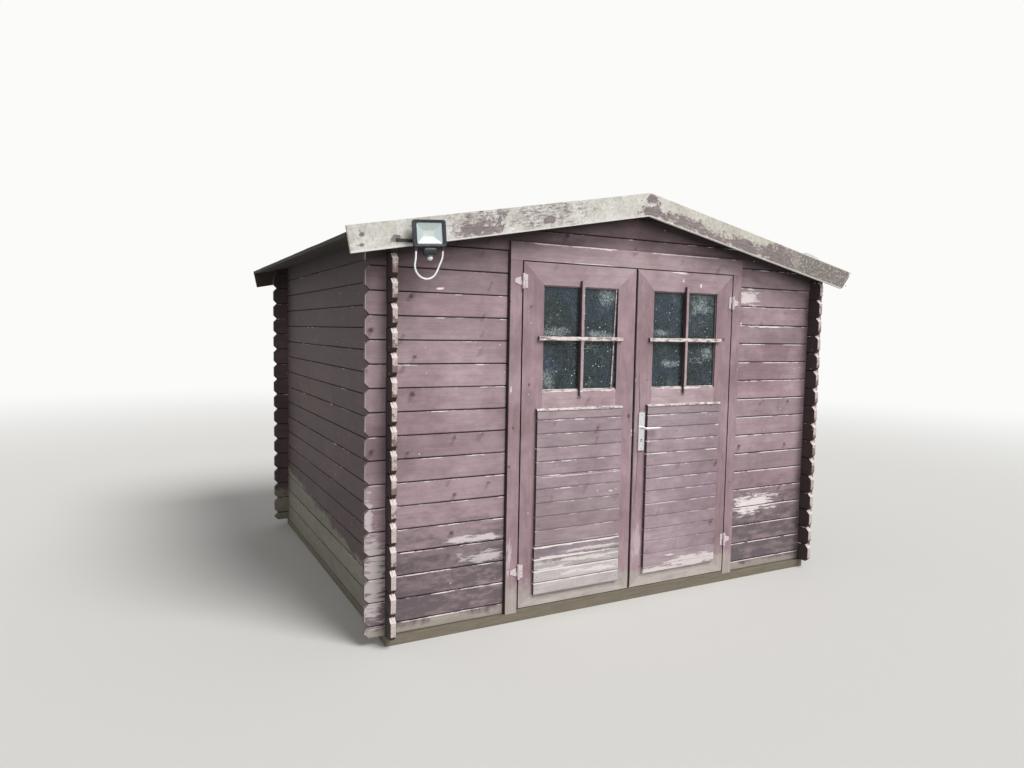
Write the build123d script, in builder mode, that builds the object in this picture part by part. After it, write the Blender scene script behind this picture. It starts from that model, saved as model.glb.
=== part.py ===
"""Double-door garden shed of interlocking logs, with a felted gable roof.

Millimetres. X runs to the right along the front, Y from front to back, Z up.
The origin is at the middle of the footprint, on the ground.
"""
import os
from math import cos, radians, sin, sqrt, tan

from build123d import *

os.makedirs("parts", exist_ok=True)

# Log walls
wall_width = 2818.0        # over the outer faces of the side walls
wall_depth = 2366.0        # over the outer faces of the front and back walls
log_thickness = 28.0
course_height = 112.0
side_courses = 17          # whole logs in a side wall
cross_log_stub = 99.0      # front and back logs past the side walls
side_log_stub = 86.0       # side logs past the front and back walls
log_end_chamfer = 22.0
log_joint_chamfer = 3.0    # V joint between two courses

# Floor
beam_height = 45.0
beam_width = 70.0
joist_count = 7
floor_thickness = 18.0
floor_board = 95.0
floor_gap = 2.0            # floor to walls and to the door frame
floor_joint_chamfer = 1.5

# Roof
roof_pitch = 11.55         # degrees
top_log_trim = 12.0        # ripped off the top log of a side wall, at its inner face
eave_overhang = 217.0
front_overhang = 100.0     # roof boards past the front wall
back_overhang = 122.0
roof_board_thickness = 16.0
roof_board = 96.0
roof_joint_chamfer = 2.0
felt_thickness = 3.0
ridge_purlin_width = 45.0
ridge_purlin_height = 80.0
side_purlin_width = 45.0
side_purlin_height = 70.0
side_purlin_x = 700.0      # middle of a side purlin from the ridge
barge_height = 120.0
barge_thickness = 18.0
left_barge_pitch = 10.6    # nailed flatter than the roof, so its end stands proud
left_barge_cut = left_barge_pitch    # end cut, degrees off plumb
right_barge_cut = 39.0

# Door frame
doorway_width = 1420.0     # between the jambs
jamb_thickness = 35.0
trim_lap = 33.0            # trims over the log ends
trim_thickness = 20.0
head_thickness = 43.0
head_trim_lap = 48.0       # head trims over the log above the doorway
threshold_thickness = 18.0
stop_width = 15.0

# Door leaves
leaf_thickness = 40.0
leaf_gap = 5.0             # leaf to jamb, head, threshold and stop
meeting_gap = 6.0          # between the two leaves
stile_width = 118.0
top_rail_height = 112.0
middle_rail_height = 120.0
bottom_rail_height = 92.0
window_height = 542.0
glass_thickness = 4.0
glass_setback = 12.0       # front of the leaf to front of the glass
glass_lap = 8.0            # glass held in the frame's groove
glass_clearance = 0.3
muntin_width = 21.0
muntin_thickness = 16.0
muntin_lap = 29.0          # muntin ends over the leaf frame
panel_thickness = 18.0
panel_lap = 32.0           # panel over the leaf frame
panel_board = 72.0
panel_first_board = 59.0
panel_joint_chamfer = 2.5
weather_bead_height = 12.0
weather_bead_proud = 4.0   # bead past the face of the panel
weather_bead_lap = 4.0     # bead past each side of the panel
weather_bead_chamfer = 4.0
right_panel_rise = 15.0    # foot of the right panel above the foot of the left one
kick_panel_height = 253.0
kick_panel_extra = 8.0     # kick panel wider than the panel above it
kick_panel_gap = 4.0
kick_panel_boards = 4

# Hinges
barrel_radius = 7.0
barrel_length = 76.0       # both halves
barrel_face_gap = 0.5      # barrel to the faces of leaf and jamb
barrel_end_gap = 0.3       # between the two halves
hinge_pin_radius = 4.0
hinge_pin_length = 33.0
hinge_pin_clearance = 0.05
hinge_plate_thickness = 3.0
hinge_plate_clearance = 5.0    # plate to the barrel half that it passes
hinge_jamb_plate = 46.0        # barrel's middle to the point of the jamb plate
hinge_jamb_root = 42.0         # height of the jamb plate beside the barrel
hinge_jamb_tip = 20.0          # height of the jamb plate at its point
hinge_leaf_plate = 26.0        # barrel's middle to the far edge of the leaf plate
hinge_leaf_height = 68.0
left_top_hinge_drop = 97.0     # top of the leaf to the middle of the hinge
right_top_hinge_drop = 160.0
bottom_hinge_rise = 194.0      # bottom of the leaf to the middle of the hinge

# Lever handle on the right leaf
handle_inset = 54.0        # spindle from the meeting edge
spindle_drop = 130.0       # top of the panel to the spindle
plate_width = 40.0
plate_length = 212.0
plate_thickness = 8.0
plate_above_spindle = 85.0
neck_radius = 9.0
neck_length = 30.0         # plate to the grip
spindle_side = 8.0
spindle_clearance = 1.0    # corners of the square spindle to its bore
neck_clearance = 0.05
grip_length = 104.0        # spindle to the tip
grip_height = 13.0
grip_thickness = 12.0
keyhole_drop = 67.0        # spindle to keyhole
keyhole_radius = 4.5
keyhole_slot = 14.0

# Lamp with a motion sensor on the left front barge board
lamp_inset = 360.0         # end of the barge board to the middle of the lamp
lamp_drop = 18.0           # middle of the barge board to the middle of the lamp
lamp_roll = 4.0            # degrees, right side up
lamp_width = 158.0
lamp_height = 118.0
lamp_depth = 30.0
lamp_corner = 6.0
lamp_standoff = 25.0       # barge board to the back of the lamp
lamp_glass_width = 122.0
lamp_glass_height = 93.0
lamp_glass_thickness = 4.0
lamp_glass_clearance = 0.2
bracket_thickness = 4.0
bracket_height = 15.0
bracket_left = 138.0       # bracket bar to the left of the lamp's middle
bracket_right = 30.0
bracket_block_width = 60.0
bracket_block_height = 30.0
bracket_drop = 34.0        # middle of the lamp to the bracket bar
bolt_radius = 6.0
bolt_height = 6.0
bolt_edge = 8.0            # end of the bar to the middle of the bolt
sensor_width = 66.0
sensor_height = 40.0
sensor_depth = 28.0
lens_radius = 14.0
lens_length = 23.0
lens_bevel = 8.0
lens_facets = 10
gland_radius = 7.0
gland_length = 22.0        # from its mouth up into the housing
cable_diameter = 8.0
cable_sides = 6
cable_bend_share = 0.45    # of the shorter run beside a bend

# Places that follow from the sizes
half_width = wall_width / 2
inner_half_width = half_width - log_thickness
log_end_x = half_width + cross_log_stub
eave_half_width = half_width + eave_overhang
front_reach = front_overhang + barge_thickness + lamp_standoff + lamp_depth
back_reach = wall_depth + back_overhang + barge_thickness
front_y = (front_reach - back_reach) / 2
back_y = front_y + wall_depth
front_inner_y = front_y + log_thickness
back_inner_y = back_y - log_thickness
front_middle_y = front_y + log_thickness / 2
back_middle_y = back_y - log_thickness / 2
roof_front_y = front_y - front_overhang
roof_back_y = back_y + back_overhang

wall_base = beam_height
wall_top = wall_base + side_courses * course_height - top_log_trim
front_joints = [wall_base + (row + 0.5) * course_height for row in range(side_courses)]
side_joints = [wall_base + row * course_height for row in range(1, side_courses)]
doorway_top = front_joints[-1]
side_necks = front_joints
cross_necks = [wall_base + row * course_height for row in range(side_courses + 1)]

slope = tan(radians(roof_pitch))
plumb = 1 / cos(radians(roof_pitch))
ridge_underside = wall_top + slope * inner_half_width
ridge_top = ridge_underside + (roof_board_thickness + felt_thickness) * plumb

jamb_x = doorway_width / 2
log_cut_x = jamb_x + jamb_thickness
trim_x = log_cut_x + trim_lap
frame_front_y = front_y - trim_thickness
frame_back_y = front_inner_y + trim_thickness
threshold_top = wall_base + threshold_thickness
head_bottom = doorway_top - head_thickness

leaf_front_y = frame_front_y
leaf_back_y = leaf_front_y + leaf_thickness
stop_y = leaf_back_y + leaf_gap
leaf_bottom = threshold_top + leaf_gap
leaf_top = head_bottom - leaf_gap
leaf_inner_x = meeting_gap / 2
leaf_outer_x = jamb_x - leaf_gap
leaf_middle_x = (leaf_inner_x + leaf_outer_x) / 2
window_width = leaf_outer_x - leaf_inner_x - 2 * stile_width
window_top = leaf_top - top_rail_height
window_bottom = window_top - window_height
window_middle = (window_top + window_bottom) / 2
field_top = window_bottom - middle_rail_height
field_bottom = leaf_bottom + bottom_rail_height
panel_width = window_width + 2 * panel_lap
panel_top = field_top + panel_lap
panel_bottom = field_bottom - panel_lap

hinge_x = (leaf_outer_x + jamb_x) / 2
hinge_y = leaf_front_y - barrel_face_gap - barrel_radius
handle_x = leaf_inner_x + handle_inset
spindle_z = panel_top - spindle_drop
lamp_x = lamp_inset - eave_half_width


def roof_underside(x):
    """Height of the roof boards' underside at a distance from the ridge."""
    return ridge_underside - slope * abs(x)


def upright(y):
    """Upright plane across the shed at depth y, X to the right and Z up."""
    return Plane.XZ.offset(-y)


def save(piece, name):
    """Name a finished piece and write it."""
    piece.part.label = name
    export_step(piece.part, f"parts/{name}.step")


def cut_log_ends(plane, ends, levels, thickness):
    """Cut the chamfers of stacked log ends: a diamond at each joint, on each end."""
    with BuildSketch(plane) as diamonds:
        with Locations([(end, level) for end in ends for level in levels]):
            Rectangle(log_end_chamfer * sqrt(2), log_end_chamfer * sqrt(2), rotation=45)
    extrude(diamonds.sketch, amount=thickness, mode=Mode.SUBTRACT)


def cut_joints(plane, faces, levels, chamfer, length):
    """Cut V joints along a wall or a panel: one for each level, on each face."""
    with BuildSketch(plane) as grooves:
        with Locations([(face, level) for face in faces for level in levels]):
            Rectangle(chamfer * sqrt(2), chamfer * sqrt(2), rotation=45)
    extrude(grooves.sketch, amount=length, mode=Mode.SUBTRACT)


def cut_corner_notches(xs, ys, levels):
    """Notch the logs where the logs of the other wall pass through, half a course high."""
    with Locations([(x, y, level) for x in xs for y in ys for level in levels]):
        Box(log_thickness, log_thickness, course_height / 2, mode=Mode.SUBTRACT)


# Sill beams under the front and back walls, and joists between them
with BuildPart() as sill_beams:
    with Locations([(0, y, beam_height / 2) for y in (front_middle_y, back_middle_y)]):
        Box(wall_width, beam_width, beam_height)
save(sill_beams, "sill_beams")

joist_length = back_middle_y - front_middle_y - beam_width
joist_pitch = (wall_width - beam_width) / (joist_count - 1)
with BuildPart() as floor_joists:
    with BuildSketch():
        with Locations((0, (front_middle_y + back_middle_y) / 2)):
            with GridLocations(joist_pitch, 0, joist_count, 1):
                Rectangle(beam_width, joist_length)
    extrude(amount=beam_height)
save(floor_joists, "floor_joists")

# Floor of tongued boards that run across the shed, cut round the door frame
floor_top = beam_height + floor_thickness
floor_front_y = front_inner_y + floor_gap
floor_back_y = back_inner_y - floor_gap
floor_half_width = inner_half_width - floor_gap
floor_rows = int((floor_back_y - floor_front_y) / floor_board)
with BuildPart() as floor_boards:
    with BuildSketch(Plane.XY.offset(beam_height)):
        with BuildLine():
            Polyline(
                (-floor_half_width, floor_back_y),
                (floor_half_width, floor_back_y),
                (floor_half_width, floor_front_y),
                (trim_x + floor_gap, floor_front_y),
                (trim_x + floor_gap, frame_back_y + floor_gap),
                (-trim_x - floor_gap, frame_back_y + floor_gap),
                (-trim_x - floor_gap, floor_front_y),
                (-floor_half_width, floor_front_y),
                close=True,
            )
        make_face()
    extrude(amount=floor_thickness)
    cut_joints(
        Plane.YZ.offset(-floor_half_width),
        [floor_back_y - row * floor_board for row in range(1, floor_rows + 1)],
        [floor_top],
        floor_joint_chamfer,
        2 * floor_half_width,
    )
save(floor_boards, "floor_boards")

# Side walls: whole logs, half a course out of step with the front and back
for side, sign in (("left", -1), ("right", 1)):
    low_x = min(sign * half_width, sign * inner_half_width)
    wall_ends = (front_y - side_log_stub, back_y + side_log_stub)
    with BuildPart() as side_wall:
        with BuildSketch(Plane.YZ.offset(low_x)):
            with Locations(((front_y + back_y) / 2, (wall_base + wall_top) / 2)):
                Rectangle(wall_depth + 2 * side_log_stub, wall_top - wall_base)
        extrude(amount=log_thickness)
        cut_log_ends(Plane.YZ.offset(low_x), wall_ends, side_joints, log_thickness)
        cut_joints(
            upright(wall_ends[0]),
            [sign * half_width],
            side_joints,
            log_joint_chamfer,
            wall_ends[0] - wall_ends[1],
        )
        cut_corner_notches(
            [sign * (half_width - log_thickness / 2)],
            [front_middle_y, back_middle_y],
            cross_necks,
        )
        with BuildSketch(upright(wall_ends[0])):
            with BuildLine():
                Polyline(
                    (sign * inner_half_width, wall_top),
                    (sign * half_width, wall_top),
                    (sign * half_width, roof_underside(half_width)),
                    close=True,
                )
            make_face()
        extrude(amount=wall_ends[0] - wall_ends[1], mode=Mode.SUBTRACT)
    save(side_wall, f"{side}_wall")

# Front wall on each side of the doorway
for side, sign in (("left", -1), ("right", 1)):
    with BuildPart() as front_piece:
        with BuildSketch(upright(front_y)):
            with Locations((sign * (log_cut_x + log_end_x) / 2, (wall_base + doorway_top) / 2)):
                Rectangle(log_end_x - log_cut_x, doorway_top - wall_base)
        extrude(amount=-log_thickness)
        cut_log_ends(upright(front_y), [sign * log_end_x], front_joints, -log_thickness)
        cut_joints(
            Plane.YZ.offset(min(sign * log_cut_x, sign * log_end_x)),
            [front_y],
            front_joints,
            log_joint_chamfer,
            log_end_x - log_cut_x,
        )
        cut_corner_notches(
            [sign * (half_width - log_thickness / 2)], [front_middle_y], side_necks
        )
    save(front_piece, f"front_wall_{side}")


def purlin_section(middle, width, height):
    """Section of a purlin, its top bevelled to the slope of the roof boards."""
    corners = [middle - width / 2, middle + width / 2]
    crown = [(0, ridge_underside)] if middle == 0 else []
    bottom = roof_underside(middle) - height
    with BuildLine() as outline:
        Polyline(
            (corners[0], bottom),
            (corners[0], roof_underside(corners[0])),
            *crown,
            (corners[1], roof_underside(corners[1])),
            (corners[1], bottom),
            close=True,
        )
    make_face(outline.edges())


purlins = [
    (0, ridge_purlin_width, ridge_purlin_height),
    (-side_purlin_x, side_purlin_width, side_purlin_height),
    (side_purlin_x, side_purlin_width, side_purlin_height),
]

# Gable over the doorway, and the back wall with its gable in one
for name, wall_y, outer_y, bottom, joints in (
    ("front_gable", front_y, front_y, doorway_top, front_joints[-1:]),
    ("back_wall", back_inner_y, back_y, wall_base, front_joints),
):
    gable_joints = [
        doorway_top + row * course_height
        for row in range(1, int((ridge_underside - doorway_top) / course_height) + 1)
    ]
    with BuildPart() as gable_wall:
        with BuildSketch(upright(wall_y)):
            with BuildLine():
                Polyline(
                    (-log_end_x, bottom),
                    (-log_end_x, roof_underside(log_end_x)),
                    (0, ridge_underside),
                    (log_end_x, roof_underside(log_end_x)),
                    (log_end_x, bottom),
                    close=True,
                )
            make_face()
        extrude(amount=-log_thickness)
        cut_log_ends(upright(wall_y), [-log_end_x, log_end_x], joints, -log_thickness)
        cut_joints(
            Plane.YZ.offset(-log_end_x),
            [outer_y],
            joints + gable_joints,
            log_joint_chamfer,
            2 * log_end_x,
        )
        cut_corner_notches(
            [-half_width + log_thickness / 2, half_width - log_thickness / 2],
            [wall_y + log_thickness / 2],
            side_necks,
        )
        for purlin in purlins:
            with BuildSketch(upright(wall_y)) as pocket:
                purlin_section(*purlin)
            extrude(pocket.sketch, amount=-log_thickness, mode=Mode.SUBTRACT)
    save(gable_wall, name)

# Purlins that carry the roof boards from end to end
roof_length = roof_back_y - roof_front_y
with BuildPart() as ridge_purlin:
    with BuildSketch(upright(roof_front_y)) as ridge_section:
        purlin_section(*purlins[0])
    extrude(ridge_section.sketch, amount=-roof_length)
save(ridge_purlin, "ridge_purlin")

with BuildPart() as side_purlins:
    for purlin in purlins[1:]:
        with BuildSketch(upright(roof_front_y)) as side_section:
            purlin_section(*purlin)
        extrude(side_section.sketch, amount=-roof_length)
save(side_purlins, "side_purlins")

# Roof boards laid down the slope, with V joints on their underside
board_half_width = eave_half_width - felt_thickness
board_rise = roof_board_thickness * plumb
roof_board_rows = int(roof_length / roof_board)
for side, sign in (("left", -1), ("right", 1)):
    with BuildPart() as roof_boards:
        with BuildSketch(upright(roof_front_y)):
            with BuildLine():
                Polyline(
                    (0, ridge_underside),
                    (sign * board_half_width, roof_underside(board_half_width)),
                    (sign * board_half_width, roof_underside(board_half_width) + board_rise),
                    (0, ridge_underside + board_rise),
                    close=True,
                )
            make_face()
        extrude(amount=-roof_length)
        down_slope = Plane(
            origin=(0, roof_front_y, ridge_underside),
            x_dir=(0, 1, 0),
            z_dir=(sign, 0, -slope),
        )
        cut_joints(
            down_slope,
            [row * roof_board for row in range(1, roof_board_rows + 1)],
            [0],
            roof_joint_chamfer,
            board_half_width * plumb,
        )
    save(roof_boards, f"roof_boards_{side}")

# Felt over both slopes, turned down over the eaves
felt_rise = felt_thickness * plumb
with BuildPart() as roofing_felt:
    with BuildSketch(upright(roof_front_y)):
        for sign in (-1, 1):
            eave_bottom = roof_underside(board_half_width)
            with BuildLine():
                Polyline(
                    (0, ridge_top),
                    (sign * eave_half_width, ridge_top - slope * eave_half_width),
                    (sign * eave_half_width, eave_bottom),
                    (sign * board_half_width, eave_bottom),
                    (sign * board_half_width, eave_bottom + board_rise),
                    (0, ridge_top - felt_rise),
                    close=True,
                )
            make_face()
    extrude(amount=-roof_length)
save(roofing_felt, "roofing_felt")

# Barge boards on both gable ends; the front right one has a raking end cut
for name, sign, pitch, cut, board_y in (
    ("front_barge_left", -1, left_barge_pitch, left_barge_cut, roof_front_y - barge_thickness),
    ("front_barge_right", 1, roof_pitch, right_barge_cut, roof_front_y - barge_thickness),
    ("back_barge_left", -1, roof_pitch, roof_pitch, roof_back_y),
    ("back_barge_right", 1, roof_pitch, roof_pitch, roof_back_y),
):
    board_slope = tan(radians(pitch))
    board_plumb = barge_height / cos(radians(pitch))
    end_top = ridge_top - board_slope * eave_half_width
    cut_slope = tan(radians(cut))
    cut_drop = board_plumb / (1 + board_slope * cut_slope)
    with BuildPart() as barge:
        with BuildSketch(upright(board_y)):
            with BuildLine():
                Polyline(
                    (0, ridge_top),
                    (sign * eave_half_width, end_top),
                    (sign * (eave_half_width - cut_drop * cut_slope), end_top - cut_drop),
                    (0, ridge_top - board_plumb),
                    close=True,
                )
            make_face()
        extrude(amount=-barge_thickness)
    save(barge, name)

# Door frame: jambs grooved over the log ends, with stops behind the leaves
with BuildPart() as threshold:
    with Locations((0, (frame_front_y + frame_back_y) / 2, wall_base + threshold_thickness / 2)):
        Box(doorway_width, frame_back_y - frame_front_y, threshold_thickness)
save(threshold, "threshold")

for side, sign in (("left", -1), ("right", 1)):
    with BuildPart() as jamb:
        with BuildSketch(Plane.XY.offset(wall_base)):
            with BuildLine():
                Polyline(
                    (sign * jamb_x, frame_front_y),
                    (sign * trim_x, frame_front_y),
                    (sign * trim_x, front_y),
                    (sign * log_cut_x, front_y),
                    (sign * log_cut_x, front_inner_y),
                    (sign * trim_x, front_inner_y),
                    (sign * trim_x, frame_back_y),
                    (sign * jamb_x, frame_back_y),
                    close=True,
                )
            make_face()
        extrude(amount=head_bottom - wall_base)
        with BuildSketch(Plane.XY.offset(threshold_top)):
            with Locations((sign * (jamb_x - stop_width / 2), (stop_y + frame_back_y) / 2)):
                Rectangle(stop_width, frame_back_y - stop_y)
        extrude(amount=head_bottom - threshold_top)
    save(jamb, f"{side}_jamb")

with BuildPart() as door_head:
    with BuildSketch(Plane.YZ.offset(-trim_x)):
        with BuildLine():
            Polyline(
                (frame_front_y, head_bottom),
                (frame_back_y, head_bottom),
                (frame_back_y, doorway_top + head_trim_lap),
                (front_inner_y, doorway_top + head_trim_lap),
                (front_inner_y, doorway_top),
                (front_y, doorway_top),
                (front_y, doorway_top + head_trim_lap),
                (frame_front_y, doorway_top + head_trim_lap),
                close=True,
            )
        make_face()
    extrude(amount=2 * trim_x)
    with Locations([
        (sign * (log_cut_x + trim_lap / 2), front_middle_y, head_bottom + head_thickness / 2)
        for sign in (-1, 1)
    ]):
        Box(trim_lap, log_thickness, head_thickness, mode=Mode.SUBTRACT)
    with Locations((0, (stop_y + frame_back_y) / 2, head_bottom - stop_width / 2)):
        Box(doorway_width - 2 * stop_width, frame_back_y - stop_y, stop_width)
save(door_head, "door_head")


def glazing_groove(sign):
    """Cut the groove that holds the glass in the frame of a leaf."""
    groove_thickness = glass_thickness + 2 * glass_clearance
    middle_y = leaf_front_y + glass_setback + glass_thickness / 2
    with Locations((sign * leaf_middle_x, middle_y, window_middle)):
        Box(
            window_width + 2 * (glass_lap + glass_clearance),
            groove_thickness,
            window_height + 2 * (glass_lap + glass_clearance),
            mode=Mode.SUBTRACT,
        )


def board_joints(top, first, pitch, bottom):
    """Heights of the joints between boards, counted down from the top one."""
    count = int((top - first - bottom) / pitch) + 1
    return [top - first - row * pitch for row in range(count)]


def planted_panel(sign, width, top, bottom, joints):
    """Tongued boards fixed on the face of a leaf."""
    panel_front_y = leaf_front_y - panel_thickness
    with BuildSketch(upright(leaf_front_y)) as field:
        with Locations((sign * leaf_middle_x, (top + bottom) / 2)):
            Rectangle(width, top - bottom)
    extrude(field.sketch, amount=panel_thickness)
    cut_joints(
        Plane.YZ.offset(sign * leaf_middle_x - width / 2),
        [panel_front_y],
        joints,
        panel_joint_chamfer,
        width,
    )


# Door leaves: mitred frames, a window over a planted panel with a weather bead on top
for side, sign in (("left", -1), ("right", 1)):
    inner_x = sign * leaf_inner_x
    outer_x = sign * leaf_outer_x
    field_inner_x = sign * (leaf_inner_x + stile_width)
    field_outer_x = sign * (leaf_outer_x - stile_width)
    with BuildPart() as stiles:
        for edge_x, field_x in ((inner_x, field_inner_x), (outer_x, field_outer_x)):
            with BuildSketch(upright(leaf_front_y)):
                with BuildLine():
                    Polyline(
                        (edge_x, leaf_bottom),
                        (edge_x, leaf_top),
                        (field_x, window_top),
                        (field_x, field_bottom),
                        close=True,
                    )
                make_face()
            extrude(amount=-leaf_thickness)
        glazing_groove(sign)
        if side == "right":
            with BuildSketch(upright(leaf_front_y)):
                with Locations((handle_x, spindle_z)):
                    Circle(spindle_side / sqrt(2) + spindle_clearance)
            extrude(amount=-leaf_thickness, mode=Mode.SUBTRACT)
    save(stiles, f"{side}_door_stiles")

    with BuildPart() as rails:
        for edge_z, field_z in ((leaf_top, window_top), (leaf_bottom, field_bottom)):
            with BuildSketch(upright(leaf_front_y)):
                with BuildLine():
                    Polyline(
                        (inner_x, edge_z),
                        (outer_x, edge_z),
                        (field_outer_x, field_z),
                        (field_inner_x, field_z),
                        close=True,
                    )
                make_face()
            extrude(amount=-leaf_thickness)
        with BuildSketch(upright(leaf_front_y)):
            with Locations((sign * leaf_middle_x, (window_bottom + field_top) / 2)):
                Rectangle(window_width, middle_rail_height)
        extrude(amount=-leaf_thickness)
        glazing_groove(sign)
    save(rails, f"{side}_door_rails")

    with BuildPart() as glass:
        glass_y = leaf_front_y + glass_setback + glass_thickness / 2
        with Locations((sign * leaf_middle_x, glass_y, window_middle)):
            Box(window_width + 2 * glass_lap, glass_thickness, window_height + 2 * glass_lap)
    save(glass, f"{side}_door_glass")

    with BuildPart() as muntins:
        with BuildSketch(upright(leaf_front_y)):
            with Locations((sign * leaf_middle_x, window_middle)):
                Rectangle(muntin_width, window_height + 2 * muntin_lap)
                Rectangle(window_width + 2 * muntin_lap, muntin_width)
        extrude(amount=muntin_thickness)
    save(muntins, f"{side}_door_muntins")

    kick_top = panel_bottom + kick_panel_height
    boards_bottom = panel_bottom + right_panel_rise
    if side == "left":
        boards_bottom = kick_top + kick_panel_gap
    with BuildPart() as panel:
        planted_panel(
            sign,
            panel_width,
            panel_top,
            boards_bottom,
            board_joints(panel_top, panel_first_board, panel_board, boards_bottom),
        )
        with BuildSketch(upright(leaf_front_y)):
            with Locations((sign * leaf_middle_x, panel_top - weather_bead_height / 2)):
                Rectangle(panel_width + 2 * weather_bead_lap, weather_bead_height)
        extrude(amount=panel_thickness + weather_bead_proud)
        top_edge = panel.faces().sort_by(Axis.Z)[-1].edges().sort_by(Axis.Y)[0]
        chamfer(top_edge, length=weather_bead_chamfer)
    save(panel, f"{side}_door_panel")

kick_board = kick_panel_height / kick_panel_boards
with BuildPart() as kick_panel:
    planted_panel(
        -1,
        panel_width + kick_panel_extra,
        kick_top,
        panel_bottom,
        [kick_top - row * kick_board for row in range(1, kick_panel_boards)],
    )
save(kick_panel, "left_door_kick_panel")

# Lift-off hinges: the jamb half has the pin, the leaf half turns on it
half_barrel = barrel_length / 2
plate_root = barrel_radius + hinge_plate_clearance


def hinge_plate(sign, level, side, reach, root, tip):
    """Plate beside the barrel, on the jamb (side 1) or the leaf (side -1)."""
    arm = sign * side
    with BuildSketch(upright(leaf_front_y)) as outline:
        with BuildLine():
            Polyline(
                (sign * hinge_x, level - side * barrel_end_gap),
                (sign * hinge_x + arm * plate_root, level - side * barrel_end_gap),
                (sign * hinge_x + arm * plate_root, level + side * root / 2),
                (sign * hinge_x + arm * reach, level + side * tip / 2),
                (sign * hinge_x + arm * reach, level - side * tip / 2),
                (sign * hinge_x + arm * plate_root, level - side * root / 2),
                (sign * hinge_x, level - side * root / 2),
                close=True,
            )
        make_face()
    extrude(outline.sketch, amount=hinge_plate_thickness)


for side, sign, top_drop in (
    ("left", -1, left_top_hinge_drop),
    ("right", 1, right_top_hinge_drop),
):
    hinge_levels = (leaf_top - top_drop, leaf_bottom + bottom_hinge_rise)
    with BuildPart() as jamb_halves:
        for level in hinge_levels:
            hinge_plate(sign, level, 1, hinge_jamb_plate, hinge_jamb_root, hinge_jamb_tip)
            with BuildSketch(Plane.XY.offset(level - half_barrel)):
                with Locations((sign * hinge_x, hinge_y)):
                    Circle(barrel_radius)
            extrude(amount=half_barrel)
            with BuildSketch(Plane.XY.offset(level)):
                with Locations((sign * hinge_x, hinge_y)):
                    Circle(hinge_pin_radius)
            extrude(amount=hinge_pin_length)
    save(jamb_halves, f"{side}_hinge_jamb_halves")

    with BuildPart() as leaf_halves:
        for level in hinge_levels:
            hinge_plate(sign, level, -1, hinge_leaf_plate, hinge_leaf_height, hinge_leaf_height)
            with BuildSketch(Plane.XY.offset(level + barrel_end_gap)):
                with Locations((sign * hinge_x, hinge_y)):
                    Circle(barrel_radius)
            extrude(amount=half_barrel - barrel_end_gap)
            with BuildSketch(Plane.XY.offset(level)):
                with Locations((sign * hinge_x, hinge_y)):
                    Circle(hinge_pin_radius + hinge_pin_clearance)
            extrude(amount=hinge_pin_length + barrel_end_gap, mode=Mode.SUBTRACT)
    save(leaf_halves, f"{side}_hinge_leaf_halves")

# Handle plates on both faces of the right leaf, and the lever on its spindle
plate_middle_z = spindle_z + plate_above_spindle - plate_length / 2
with BuildPart() as handle_plates:
    for face_y, thickness in ((leaf_front_y, plate_thickness), (leaf_back_y, -plate_thickness)):
        with BuildSketch(upright(face_y)):
            with Locations((handle_x, plate_middle_z)):
                Rectangle(plate_width, plate_length)
            with Locations((handle_x, spindle_z)):
                Circle(neck_radius + neck_clearance, mode=Mode.SUBTRACT)
            with Locations((handle_x, spindle_z - keyhole_drop)):
                Circle(keyhole_radius, mode=Mode.SUBTRACT)
                with Locations((0, -keyhole_slot / 2)):
                    Rectangle(keyhole_radius, keyhole_slot, mode=Mode.SUBTRACT)
        extrude(amount=thickness)
save(handle_plates, "handle_plates")

grip_y = plate_thickness + neck_length
with BuildPart() as door_lever:
    with BuildSketch(upright(leaf_front_y)):
        with Locations((handle_x, spindle_z)):
            Rectangle(spindle_side, spindle_side)
    extrude(amount=-leaf_thickness)
    for face_y, out in ((leaf_front_y, 1), (leaf_back_y, -1)):
        with BuildSketch(upright(face_y)):
            with Locations((handle_x, spindle_z)):
                Circle(neck_radius)
        extrude(amount=out * grip_y)
        with BuildSketch(upright(face_y - out * grip_y)):
            with Locations((handle_x + (grip_length - grip_height / 2) / 2, spindle_z)):
                SlotCenterToCenter(grip_length - grip_height / 2, grip_height)
        extrude(amount=out * grip_thickness)
save(door_lever, "door_lever")

# Lamp with a motion sensor, bolted to the left front barge board
barge_front_y = roof_front_y - barge_thickness
lamp_back_y = barge_front_y - lamp_standoff
lamp_front_y = lamp_back_y - lamp_depth
lamp_middle_y = (lamp_back_y + lamp_front_y) / 2
left_barge_slope = tan(radians(left_barge_pitch))
left_barge_middle = ridge_top - barge_height / cos(radians(left_barge_pitch)) / 2
lamp_z = left_barge_middle - left_barge_slope * abs(lamp_x) - lamp_drop
bracket_z = lamp_z - bracket_drop


def lamp_plane(y):
    """Upright plane at depth y, from the middle of the lamp and rolled with it."""
    return Plane(
        origin=(lamp_x, y, lamp_z),
        x_dir=(cos(radians(lamp_roll)), 0, sin(radians(lamp_roll))),
        z_dir=(0, -1, 0),
    )


with BuildPart() as lamp_bracket:
    with BuildSketch(upright(barge_front_y)):
        with Locations((lamp_x + (bracket_right - bracket_left) / 2, bracket_z)):
            Rectangle(bracket_left + bracket_right, bracket_height)
    extrude(amount=bracket_thickness)
    with BuildSketch(upright(barge_front_y - bracket_thickness)):
        with Locations((lamp_x - bracket_left + bolt_edge, bracket_z)):
            RegularPolygon(bolt_radius, 6)
    extrude(amount=bolt_height)
    with BuildSketch(upright(barge_front_y)):
        with Locations((lamp_x, bracket_z)):
            Rectangle(bracket_block_width, bracket_block_height)
    extrude(amount=lamp_standoff)
save(lamp_bracket, "lamp_bracket")

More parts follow.
